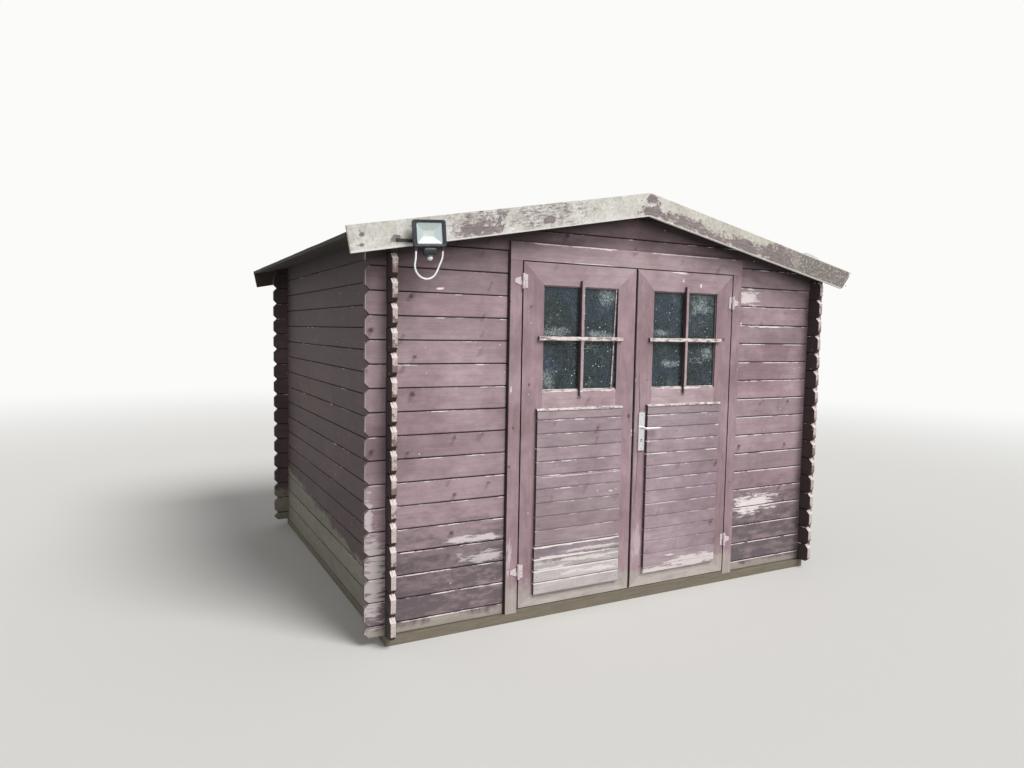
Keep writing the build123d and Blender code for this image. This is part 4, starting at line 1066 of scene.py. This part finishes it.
def clad_panel(name, node, body, levels, finish, bead):
    """Boards between the levels over one CAD panel, with or without a weather bead on top."""
    low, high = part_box(node)
    lap, proud = (bead_lap, bead_proud) if bead else (0, 0)
    start, end, face = low[0] + lap, high[0] - lap, low[1] + proud
    thickness = high[1] - face
    shape = new_shape()
    for foot, top in zip(levels, levels[1:]):
        step = chance.uniform(*board_steps)
        rings = []
        for x, inset in ((start, end_round), (start + end_round, 0), (end - end_round, 0), (end, end_round)):
            section = plank_profile(foot, top, thickness, inset)
            rings.append([(x, face + step + depth, z) for depth, z in section])
        loft(shape, rings)
    if bead:
        rings = []
        for n in range(bead_stations + 1):
            x = low[0] + (high[0] - low[0]) * n / bead_stations
            inset = end_round if n in (0, bead_stations) else chance.uniform(*bead_wear)
            section = [
                (inset - proud, -bead_height + inset), (inset - proud, -bead_chamfer),
                (bead_chamfer - proud, -inset), (thickness, -inset), (thickness, -bead_height + inset),
            ]
            rings.append([(x, face + depth, high[2] + z) for depth, z in section])
        loft(shape, rings, 1, (1, 1))
    build(name, shape, (finish, flaked_stain), body, (node,))


for side in ("left", "right"):
    low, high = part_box(f"{side}_door_panel")
    levels = [high[2] - bead_height - end_round]
    joint = high[2] - top_board
    while joint > low[2] + least_board:
        levels.insert(0, joint)
        joint -= board_pitch
    levels.insert(0, low[2])
    clad_panel(f"{side}_panel_boards", f"{side}_door_panel", f"{side}_door", levels, panel_stain, True)
kick_levels = [kick_low[2] + row * kick_board for row in range(kick_rows + 1)]
clad_panel("kick_panel_boards", "left_door_kick_panel", "left_door", kick_levels, kick_stain, False)

# Window bars and glazing beads
# Each window has one upright and one level bar planted over the frame, deep enough to reach the
# glass, and beads that hold the glass. The level bars have flaked white, and one bead hangs loose.
bar_half, bar_arris, bar_steps, bar_sway = 0.0105, 0.003, 14, 0.0007
bar_pinch, bar_sink = 60, 1.5      # how much a sway narrows the bar, and sets back its face
level_bar_lead = 0.001             # the level bar stands this much further out
glass_rebate = 0.008               # how far the glass reaches behind the frame
bead_size, bead_arris = 0.008, 0.003
loose_top, loose_foot = 0.004, 0.024      # how far the loose bead has slid in from the opening's edge
for side in ("left", "right"):
    low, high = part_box(f"{side}_door_muntins")
    glass_low, glass_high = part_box(f"{side}_door_glass")
    middle_x, middle_z = (low[0] + high[0]) / 2, (low[2] + high[2]) / 2
    pane_x, pane_z = ((glass_high[n] - glass_low[n]) / 2 - glass_rebate for n in (0, 2))
    proud, deep = low[1] - high[1], glass_low[1] - high[1]
    section = [
        (-bar_half, 0.0), (-bar_half, bar_arris + proud), (bar_arris - bar_half, proud),
        (bar_half - bar_arris, proud), (bar_half, bar_arris + proud), (bar_half, 0.0),
    ]
    inner = [(-bar_half, 0.0005), (-bar_half, deep), (bar_half, deep), (bar_half, 0.0005)]
    bars = new_shape()
    for upright in (True, False):
        ends = (low[2], high[2]) if upright else (low[0], high[0])
        rings = []
        for n in range(bar_steps + 1):
            spot = ends[0] + (ends[1] - ends[0]) * n / bar_steps
            sway = chance.uniform(-bar_sway, bar_sway) if 0 < n < bar_steps else 0.0
            lead = 0.0 if upright else level_bar_lead
            ring = []
            for a, b in section:
                across = a * (1 - abs(sway) * bar_pinch) + sway
                out = high[1] + (b + abs(sway) * bar_sink if b < 0 else b) - lead
                ring.append((middle_x + across, out, spot) if upright else (spot, out, middle_z + across))
            rings.append(ring)
        loft(bars, rings, lambda row, side: (0, 0, 2, 1, 0, 0)[side] if upright else 1)
        rings = []
        for s in (-1, 1):
            if upright:
                rings.append([(middle_x + a, high[1] + b, middle_z + s * pane_z) for a, b in inner])
            else:
                rings.append([(middle_x + s * pane_x, high[1] + b, middle_z + a) for a, b in inner])
        loft(bars, rings, 0 if upright else 1)
    build(
        f"{side}_window_bars", bars, (upright_stain, flaked_stain, level_stain), f"{side}_door",
        (f"{side}_door_muntins",),
    )
    front = glass_low[1] - bead_size
    outline = [
        (0, front + bead_arris), (bead_size - bead_arris, front), (bead_size, front + bead_arris),
        (bead_size, glass_low[1]), (0, glass_low[1]),
    ]
    beads = new_shape()
    for edge in (-1, 1):
        loose = side == "left" and edge > 0
        rings = []
        for s, slid in ((-1, loose_foot), (1, loose_top)):
            reach = pane_x - (slid if loose else 0.0)
            rings.append([
                (middle_x + edge * (reach - a), b, middle_z + s * (pane_z - a)) for a, b in outline
            ])
        loft(beads, rings, 1 if loose else 0)
        rings = [
            [(middle_x + s * (pane_x - a), b, middle_z + edge * (pane_z - a)) for a, b in outline]
            for s in (-1, 1)
        ]
        loft(beads, rings, 1 if edge < 0 else 0)
    build(f"{side}_glazing_beads", beads, (level_stain, flaked_stain), f"{side}_door")

# Window glass
# Clear float glass, dirty inside and out: dust has settled in the corners and along the bars, and old cobwebs
# cling to it. Its blue green colour, nearly black, is painted shade of the dark room behind.
web_mesh = (0.060, 0.030 / 1.7)    # 60 by 18 mm, the mesh of the old cobwebs
speck_pitch = 0.019
film_size, dust_grain, dust_cloud, hue_size = 1 / 12, 1 / 110, 1 / 55, 1 / 5     # 83, 9, 18 and 200 mm
dust_edges = (24, 24, 24)          # 42 mm
left_x = (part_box("left_door_glass")[0][0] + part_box("left_door_glass")[1][0]) / 2
right_x = -left_x
glass_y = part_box("left_door_glass")[0][1]
dust_spots = (     # where the dust is thickest: middle, height, half width, half height
    (left_x - 0.15, 1.490, 0.13, 0.055), (left_x + 0.17, 1.690, 0.10, 0.080),
    (left_x + 0.12, 1.485, 0.14, 0.035), (left_x - 0.19, 1.250, 0.07, 0.090),
    (right_x + 0.12, 1.660, 0.13, 0.100), (right_x - 0.16, 1.500, 0.12, 0.030),
    (right_x + 0.18, 1.390, 0.08, 0.060), (right_x - 0.10, 1.330, 0.10, 0.030),
)
web_spots = (
    (left_x + 0.055, 1.430, 0.090, 0.050), (left_x - 0.055, 1.440, 0.055, 0.022),
    (right_x + 0.13, 1.560, 0.07, 0.025), (right_x + 0.10, 1.345, 0.10, 0.034),
    (right_x - 0.05, 1.330, 0.06, 0.020),
)


def on_glass(rows, soft, mask=None):
    """Mask of several torn spots on the panes, laid over a mask that is there already."""
    for x, z, wide, tall in rows:
        spot = patch(tree, place, (x, glass_y, z), (wide, spot_depth, tall), torn, soft)
        mask = spot if mask is None else add(tree, "Math", (spot, mask), "MAXIMUM")
    return mask


dirty_glass, tree, place = new_finish("dusty_float_glass")
torn = tearing(tree, place, 0.45, dust_edges)
film = add(tree, "TexNoise", {"Vector": place, "Scale": 1 / film_size, "Detail": 10, "Roughness": 0.80})
film = add(tree, "MapRange", (film, 0.50, 0.80, 0, 0.34))
fine = add(tree, "TexNoise", {"Vector": place, "Scale": 1 / dust_grain, "Detail": 7, "Roughness": 0.80})
fine = add(tree, "MapRange", (fine, 0.42, 0.70, 0.02, 0.85))
dusty = on_glass(dust_spots, 1.0, 0.17)
fine = add(tree, "Math", (fine, dusty), "MULTIPLY")
cell = add(tree, "TexVoronoi", {"Vector": place, "Scale": 1 / speck_pitch}).outputs
own = add(tree, "SeparateColor", cell["Color"]).outputs["Red"]
size = add(tree, "MapRange", (own, 0.35, 1, -0.02, 0.21))
speck = add(tree, "Math", (cell["Distance"], size), "SUBTRACT")
speck = add(tree, "MapRange", (speck, -0.03, 0, 0.95, 0))
strands = add(tree, "Mapping", {
    "Vector": place, "Scale": (1 / web_mesh[0], 1, 1 / web_mesh[1]), "Rotation": (0, 0.3, 0),
})
web = add(tree, "TexVoronoi", {"Vector": strands, "Scale": 1}, feature="DISTANCE_TO_EDGE")
web = add(tree, "MapRange", (web, 0, 0.035, 0.65, 0))
webbed = on_glass(web_spots, 0.8)
veil = add(tree, "Math", (webbed, 0.07), "MULTIPLY")
web = add(tree, "Math", (web, webbed, veil), "MULTIPLY_ADD")
cloudy = add(tree, "TexNoise", {"Vector": place, "Scale": 1 / dust_cloud, "Detail": 8, "Roughness": 0.8})
cloudy = add(tree, "MapRange", (cloudy, 0.40, 0.66, 0, 0.24))
cloudy = add(tree, "Math", (cloudy, dusty), "MULTIPLY")
dirt = add(tree, "Math", (film, fine), "MAXIMUM")
dirt = add(tree, "Math", (dirt, cloudy), "ADD")
dirt = add(tree, "Math", (dirt, speck), "MAXIMUM")
dirt = add(tree, "Math", (dirt, web), "MAXIMUM", use_clamp=True)
# painted shade of the dark room behind, varying at random between green and blue
room_shade_hue = add(tree, "TexNoise", {"Vector": place, "Scale": 1 / hue_size, "Detail": 3})
room_shade_hue = add(tree, "MapRange", (room_shade_hue, 0.38, 0.62))
tint = coats(tree, "#15211c", (room_shade_hue, "#293946"), (dirt, "#c3cfd2"))
alpha = add(tree, "MapRange", (dirt, 0, 0.3, 0.72, 1))
shine = add(tree, "MapRange", (dirt, 0, 0.5, 0.06, 0.7))
close_finish(tree, {
    "Base Color": tint, "Roughness": shine, "Alpha": alpha, "IOR": 1.45, "Specular IOR Level": 0.3,
})
for side in ("left", "right"):
    give_finish(f"{side}_door_glass", dirty_glass)

# Hinges
# Lift-off hinges of pressed steel, screwed to leaf and jamb and painted over with the stain. It has
# flaked to a pink-white bloom, with dull rust where the zinc has gone.
bloom_size = 1 / 70                # 14 mm
painted_steel, tree, place = new_finish("stain_over_zinc_steel")
flakes = add(tree, "TexNoise", {"Vector": place, "Scale": 1 / bloom_size, "Detail": 5, "Roughness": 0.7})
rust = add(tree, "MapRange", (flakes, 0.60, 0.68, 0, 0.8))
tint = coats(tree, "#b5a1a5", (flakes, "#efe5e6"), (rust, "#6d4a3c"))
close_finish(tree, {"Base Color": tint, "Roughness": 0.55, "Metallic": 0.0})
ease_edges(
    [f"{side}_hinge_{part}_halves" for side in ("left", "right") for part in ("jamb", "leaf")],
    0.0006, painted_steel,
)

# Handle
# Pressed aluminium plates screwed through the leaf, one each side, and a cast lever on one spindle.
# Satin anodising gives it a fine soft shine, rubbed brighter by hands.
brush_marks = (900, 900, 30)       # 1 mm apart and 33 mm long, coarser than real ones so that they show
grip_half_depth, grip_bend, grip_round = 0.0058, 0.014, 0.004
neck_radius, root_radius, bend_radius, grip_radius, tip_radius = 0.0088, 0.0076, 0.0072, 0.0062, 0.0035
bend_taper = 0.0008                # how much thinner the arm gets round its bend
bend_steps, grip_steps, arm_corners = 5, 8, 16
plate_inset = 0.006
satin_aluminium, tree, place = new_finish("satin_anodised_aluminium")
brushed = add(tree, "Mapping", {"Vector": place, "Scale": brush_marks})
brushed = add(tree, "TexNoise", {"Vector": brushed, "Scale": 1, "Detail": 2})
shine = add(tree, "MapRange", (brushed, 0, 1, 0.28, 0.42))
bump = add(tree, "Bump", {"Height": brushed, "Strength": 0.1, "Distance": 0.0002})
close_finish(tree, {"Base Color": "#ececee", "Metallic": 1.0, "Roughness": shine, "Normal": bump})
ease_edges(("handle_plates",), 0.001, satin_aluminium)
lever_low, lever_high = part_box("door_lever")
plate_low, plate_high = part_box("handle_plates")
spindle_x = (plate_low[0] + plate_high[0]) / 2
spindle_z = (lever_low[2] + lever_high[2]) / 2
lever_shape = new_shape()
for out, plate_face, tip_y in (
    (-1, plate_low[1] + plate_inset, lever_low[1]), (1, plate_high[1] - plate_inset, lever_high[1]),
):
    grip_y = tip_y - out * grip_half_depth
    grip_x = spindle_x + grip_bend
    path = [
        ((spindle_x, plate_face), 0.0, neck_radius),
        ((spindle_x, grip_y - out * grip_bend), 0.0, root_radius),
    ]
    for step in range(1, bend_steps + 1):
        angle = step / bend_steps * pi / 2
        middle = (spindle_x + grip_bend * (1 - cos(angle)), grip_y - out * grip_bend * (1 - sin(angle)))
        path.append((middle, angle, bend_radius - bend_taper * step / bend_steps))
    for step in range(1, grip_steps + 1):
        x = grip_x + (lever_high[0] - grip_round - grip_x) * step / grip_steps
        path.append(((x, grip_y), pi / 2, grip_radius))
    path.append(((lever_high[0], grip_y), pi / 2, tip_radius))
    rings = []
    for (x, y), angle, radius in path:
        ring = []
        for corner in range(arm_corners):
            around = corner / arm_corners * 2 * pi
            shift, rise = radius * cos(around), radius * sin(around)
            ring.append((x + shift * cos(angle), y - out * shift * sin(angle), spindle_z + rise))
        rings.append(ring)
    loft(lever_shape, rings)
build("cast_lever", lever_shape, (satin_aluminium,), "lever", ("door_lever",), smooth=40)

# Floodlight
# A die-cast aluminium case with a dark powder coat, a pale stamped reflector behind toughened
# glass, and a motion sensor below. It is bolted by a flat bar and leans with its left side low.
lamp_roll = radians(4)
lamp_across = Vector((cos(lamp_roll), 0, sin(lamp_roll)))
lamp_rise = Vector((-sin(lamp_roll), 0, cos(lamp_roll)))
case_width, case_height = 0.158, 0.118
case_back, case_front = housing_high[1], housing_low[1]
glass_width, glass_height, glass_corner = 0.122, 0.093, 0.005
corner_steps = 5
fin_count, fin_pitch, fin_half, fin_reach = 9, 0.014, 0.0012, 0.038
gland_length, gland_radius, gland_sides = 0.022, 0.007, 16
peel_size, coat_dust, haze_size, film_size = 1 / 600, 1 / 30, 1 / 60, 1 / 35     # 2, 33, 17, 29 mm
chip_cell = 1 / 300                # 3 mm


def on_lamp(x, y, z):
    """Point in the lamp's own lean, across and up from its middle, at depth y."""
    at = lamp_middle + lamp_across * x + lamp_rise * z
    return at.x, y, at.z


def rounded(width, height, radius, y):
    """Ring round a rectangle with round corners, in the lamp's own lean, at depth y."""
    ring = []
    for quarter, (sx, sz) in enumerate(((1, 1), (-1, 1), (-1, -1), (1, -1))):
        for step in range(corner_steps + 1):
            angle = (quarter + step / corner_steps) * pi / 2
            x = sx * (width / 2 - radius) + radius * cos(angle)
            z = sz * (height / 2 - radius) + radius * sin(angle)
            ring.append(on_lamp(x, y, z))
    return ring


# powder coat: a fine orange peel and a half gloss, greyed by dust
powder_coat, tree, place = new_finish("dark_powder_coat")
orange_peel = add(tree, "TexNoise", {"Vector": place, "Scale": 1 / peel_size, "Detail": 2})
dusting = add(tree, "TexNoise", {"Vector": place, "Scale": 1 / coat_dust, "Detail": 5})
dusting = add(tree, "MapRange", (dusting, 0.4, 0.7, 0, 0.4))
bump = add(tree, "Bump", {"Height": orange_peel, "Strength": 0.15, "Distance": 0.0003})
tint = coats(tree, "#22262d", (dusting, "#4f555d"))
close_finish(tree, {"Base Color": tint, "Roughness": 0.42, "Normal": bump})
# stamped reflector: pale and satin, with painted light making it brightest where its sides look up
reflector, tree, place = new_finish("stamped_reflector")
haze = add(tree, "TexNoise", {"Vector": place, "Scale": 1 / haze_size, "Detail": 3})
facing = add(tree, "SeparateXYZ", add(tree, "TexCoord").outputs["Normal"])
painted_light_upward = add(tree, "MapRange", (facing.outputs["Z"], -0.6, 0.6))
tint = coats(tree, "#a2b1ae", (haze, "#b5c2bf"), (painted_light_upward, "#dce8e6"))
close_finish(tree, {"Base Color": tint, "Roughness": 0.4, "Metallic": 0.2})
# lamp chip: a matt near-white square of small cells
chip_array, tree, place = new_finish("lamp_chip")
dots = add(tree, "TexVoronoi", {"Vector": place, "Scale": 1 / chip_cell})
close_finish(tree, {"Base Color": coats(tree, "#eef4ef", (dots, "#d8dfd0")), "Roughness": 0.5})
# toughened glass: all but clear, with a thin film of dirt
pane_glass, tree, place = new_finish("toughened_lamp_glass")
film = add(tree, "TexNoise", {"Vector": place, "Scale": 1 / film_size, "Detail": 6})
film = add(tree, "MapRange", (film, 0, 1, 0.06, 0.20))
close_finish(tree, {"Base Color": "#dfeaec", "Roughness": 0.08, "Alpha": film, "IOR": 1.5})

case = new_shape()
case_rings = [
    rounded(case_width - 0.03, case_height - 0.03, 0.006, case_back),
    rounded(case_width - 0.012, case_height - 0.012, 0.008, case_back - 0.010),
    rounded(case_width - 0.002, case_height - 0.002, 0.010, case_back - 0.014),
    rounded(case_width, case_height, 0.011, case_back - 0.018),
    rounded(case_width, case_height, 0.011, case_front + 0.002),
    rounded(case_width - 0.004, case_height - 0.004, 0.009, case_front),
    rounded(glass_width + 0.012, glass_height + 0.010, 0.008, case_front + 0.001),
    rounded(glass_width + 0.002, glass_height + 0.002, 0.006, case_front + 0.0045),
    rounded(glass_width - 0.004, glass_height - 0.004, glass_corner, case_front + 0.0055),
    rounded(0.050, 0.027, 0.001, case_front + 0.021),
]
loft(case, case_rings, lambda row, side: 1 if row == len(case_rings) - 2 else 0, (0, 2))
for fin in range(fin_count):
    shift = (fin - fin_count // 2) * fin_pitch
    corners = ((-fin_half, -fin_reach), (fin_half, -fin_reach), (fin_half, fin_reach), (-fin_half, fin_reach))
    loft(case, [
        [on_lamp(shift + x, y, z) for x, z in corners] for y in (case_back - 0.0060, case_back + 0.010)
    ])
gland_steps = (     # height and radius
    (0, 0.0046), (0.001, 0.0060), (0.009, 0.0060), (0.0095, gland_radius), (gland_length, gland_radius)
)
for across, up in (cable_route[0], cable_route[-1]):
    mouth = lamp_middle + Vector((across, 0, up)) / 1000
    loft(case, [
        [
            (mouth.x + radius * cos(n * pi / 8), mouth.y + radius * sin(n * pi / 8), mouth.z + rise)
            for n in range(gland_sides)
        ]
        for rise, radius in gland_steps
    ])
build(
    "lamp_case", case, (powder_coat, reflector, chip_array), "shed", ("lamp_housing",),
    smooth=25,
)
pane = new_shape()
loft(pane, [
    rounded(glass_width, glass_height, glass_corner, case_front + 0.0052),
    rounded(glass_width, glass_height, glass_corner, case_front + 0.0030),
    rounded(glass_width - 0.001, glass_height - 0.001, glass_corner, case_front + 0.0025),
])
build("lamp_pane", pane, (pane_glass,), "shed", ("lamp_glass",))
ease_edges(("lamp_bracket",), 0.0008, powder_coat)

# Motion sensor
# A black ABS pod under the lamp, on a short swivel, with a milky ribbed lens that points down.
# Moulded ABS has an even half gloss, worn in places, and the polythene lens has a soft wet shine.
worn_size, lens_rib = 1 / 80, 1 / 260         # 13 and 4 mm
black_abs, tree, place = new_finish("black_abs")
worn_shine = add(tree, "TexNoise", {"Vector": place, "Scale": 1 / worn_size, "Detail": 3})
shine = add(tree, "MapRange", (worn_shine, 0, 1, 0.25, 0.45))
close_finish(tree, {"Base Color": "#1d2025", "Roughness": shine})
milky_lens, tree, place = new_finish("milky_polythene_lens")
facets = add(tree, "TexVoronoi", {"Vector": place, "Scale": 1 / lens_rib}, feature="DISTANCE_TO_EDGE")
bump = add(tree, "Bump", {"Height": facets, "Strength": 0.3, "Distance": 0.0005})
tint = coats(tree, "#dfe5e8", (facets, "#fbfdfd"))
close_finish(tree, {"Base Color": tint, "Roughness": 0.25, "Normal": bump})
sensor_low, sensor_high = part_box("motion_sensor")
sensor_y = (sensor_low[1] + sensor_high[1]) / 2
sensor_depth = sensor_high[1] - sensor_low[1]
pod_top = case_height / 2
lens_radius, lens_drop = 0.0125, 0.0483


def sensor_ring(drop, width, depth_across, count=24, power=0.35):
    """Ring of a rounded box round the lamp's middle line, at a drop below the lamp's middle."""
    ring = []
    for n in range(count):
        angle = n / count * 2 * pi
        c, s = cos(angle), sin(angle)
        x = width / 2 * (abs(c) ** power) * (1 if c >= 0 else -1)
        y = depth_across / 2 * (abs(s) ** power) * (1 if s >= 0 else -1)
        ring.append(on_lamp(x, sensor_y + y, -drop))
    return ring


pod = new_shape()
loft(pod, [
    sensor_ring(pod_top + drop, width, depth, power=power)
    for drop, width, depth, power in (
        (-0.001, 0.050, 0.018, 0.35), (0.006, 0.050, 0.018, 0.35),
        (0.008, 0.064, sensor_depth - 0.002, 0.35), (0.010, 0.066, sensor_depth, 0.35),
        (0.034, 0.062, sensor_depth, 0.35), (0.038, 0.054, sensor_depth - 0.004, 0.35),
        (0.040, 0.036, 0.026, 0.7), (0.043, 0.031, 0.026, 1.0),
    )
])
lens_rings = []
for step in range(11):
    angle = radians(-65 + 15 * step)
    wide = 2 * lens_radius * cos(angle)
    lens_rings.append(sensor_ring(pod_top + lens_drop + lens_radius * sin(angle), wide, wide, power=1.0))
loft(pod, lens_rings, 1, (1, 1))
build("sensor_pod", pod, (black_abs, milky_lens), "shed", ("motion_sensor",), smooth=30)

# Nails and screws
# Round-head nails of bright steel hold the barge boards, panels and felt, and have dulled and rusted a
# little. Countersunk screws hold the handle plates.
rust_spot = 1 / 200                # 5 mm
barge_nail, felt_nail, pin, kick_pin, plate_screw = (     # radius and height of the head
    (0.0032, 0.0009), (0.005, 0.001), (0.0022, 0.0006), (0.0024, 0.0007), (0.0032, 0.0008)
)
barge_nails_at = (0.06, 0.68, 0.72, 1.34, 1.57)     # out from the ridge
barge_nail_drops, nail_scatter = (0.032, 0.090), 0.006
felt_nail_count, felt_nail_inset, felt_nail_edge, felt_hem = 22, 0.06, 0.018, 0.012
pin_inset, kick_pin_inset, screw_inset = 0.022, 0.018, 0.012
nail_steel, tree, place = new_finish("weathered_nail_steel")
rusted = add(tree, "TexNoise", {"Vector": place, "Scale": 1 / rust_spot, "Detail": 3})
tint = coats(tree, "#4a403b", (rusted, "#8f8780"))
close_finish(tree, {"Base Color": tint, "Roughness": 0.5, "Metallic": 0.6})


def drive(shape, at, out, radius, height):
    """One domed head at a point, standing out along a direction."""
    side = out.orthogonal().normalized()
    other = out.cross(side)
    loft(shape, [
        [
            Vector(at) + out * rise + (side * cos(n * pi / 4) + other * sin(n * pi / 4)) * radius * share
            for n in range(8)
        ]
        for rise, share in ((-0.002, 1.0), (0.0, 1.0), (height * 0.7, 0.8), (height, 0.35))
    ])


to_front, to_back = Vector((0, -1, 0)), Vector((0, 1, 0))
shed_nails, left_nails, right_nails = new_shape(), new_shape(), new_shape()
back_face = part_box("back_barge_left")[1][1]
for sign, slope in ((-1, left_slope), (1, roof_slope)):
    for reach in barge_nails_at:
        for drop in barge_nail_drops:
            x = reach * sign + chance.uniform(-nail_scatter, nail_scatter)
            z = board_high[2] - slope * abs(x) - drop - chance.uniform(0, nail_scatter)
            drive(shed_nails, (x, board_low[1], z), to_front, *barge_nail)
            z = board_high[2] - roof_slope * abs(x) - drop
            drive(shed_nails, (x, back_face, z), to_back, *barge_nail)
for sign in (-1, 1):
    out = Vector((sign * roof_slope, 0, 1)).normalized()
    for edge in (*felt_laps, felt_high[0] - felt_hem):
        x = sign * (edge - felt_nail_edge)
        for step in range(felt_nail_count):
            span = felt_high[1] - felt_low[1] - 2 * felt_nail_inset
            y = felt_low[1] + felt_nail_inset + step * span / (felt_nail_count - 1)
            drive(shed_nails, (x, y, felt_height(x, y)), out, *felt_nail)
for shape, node in ((left_nails, "left_door_panel"), (right_nails, "right_door_panel")):
    low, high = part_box(node)
    z = high[2] - board_pitch / 2
    while z > low[2]:
        for x in (low[0] + pin_inset, high[0] - pin_inset):
            drive(shape, (x, panel_y, z), to_front, *pin)
        z -= board_pitch
for row in range(kick_rows):
    z = kick_low[2] + (row + 0.5) * kick_board
    for x in (kick_low[0] + kick_pin_inset, kick_middle, kick_high[0] - kick_pin_inset):
        drive(left_nails, (x, kick_low[1], z), to_front, *kick_pin)
for rise in (screw_inset, plate_high[2] - plate_low[2] - screw_inset):
    z = plate_low[2] + rise
    drive(right_nails, (spindle_x, plate_low[1], z), to_front, *plate_screw)
    drive(right_nails, (spindle_x, plate_high[1], z), to_back, *plate_screw)
for name, shape, body in (
    ("shed_nails", shed_nails, "shed"), ("left_door_pins", left_nails, "left_door"),
    ("right_door_pins", right_nails, "right_door"),
):
    build(name, shape, (nail_steel,), body, smooth=60)
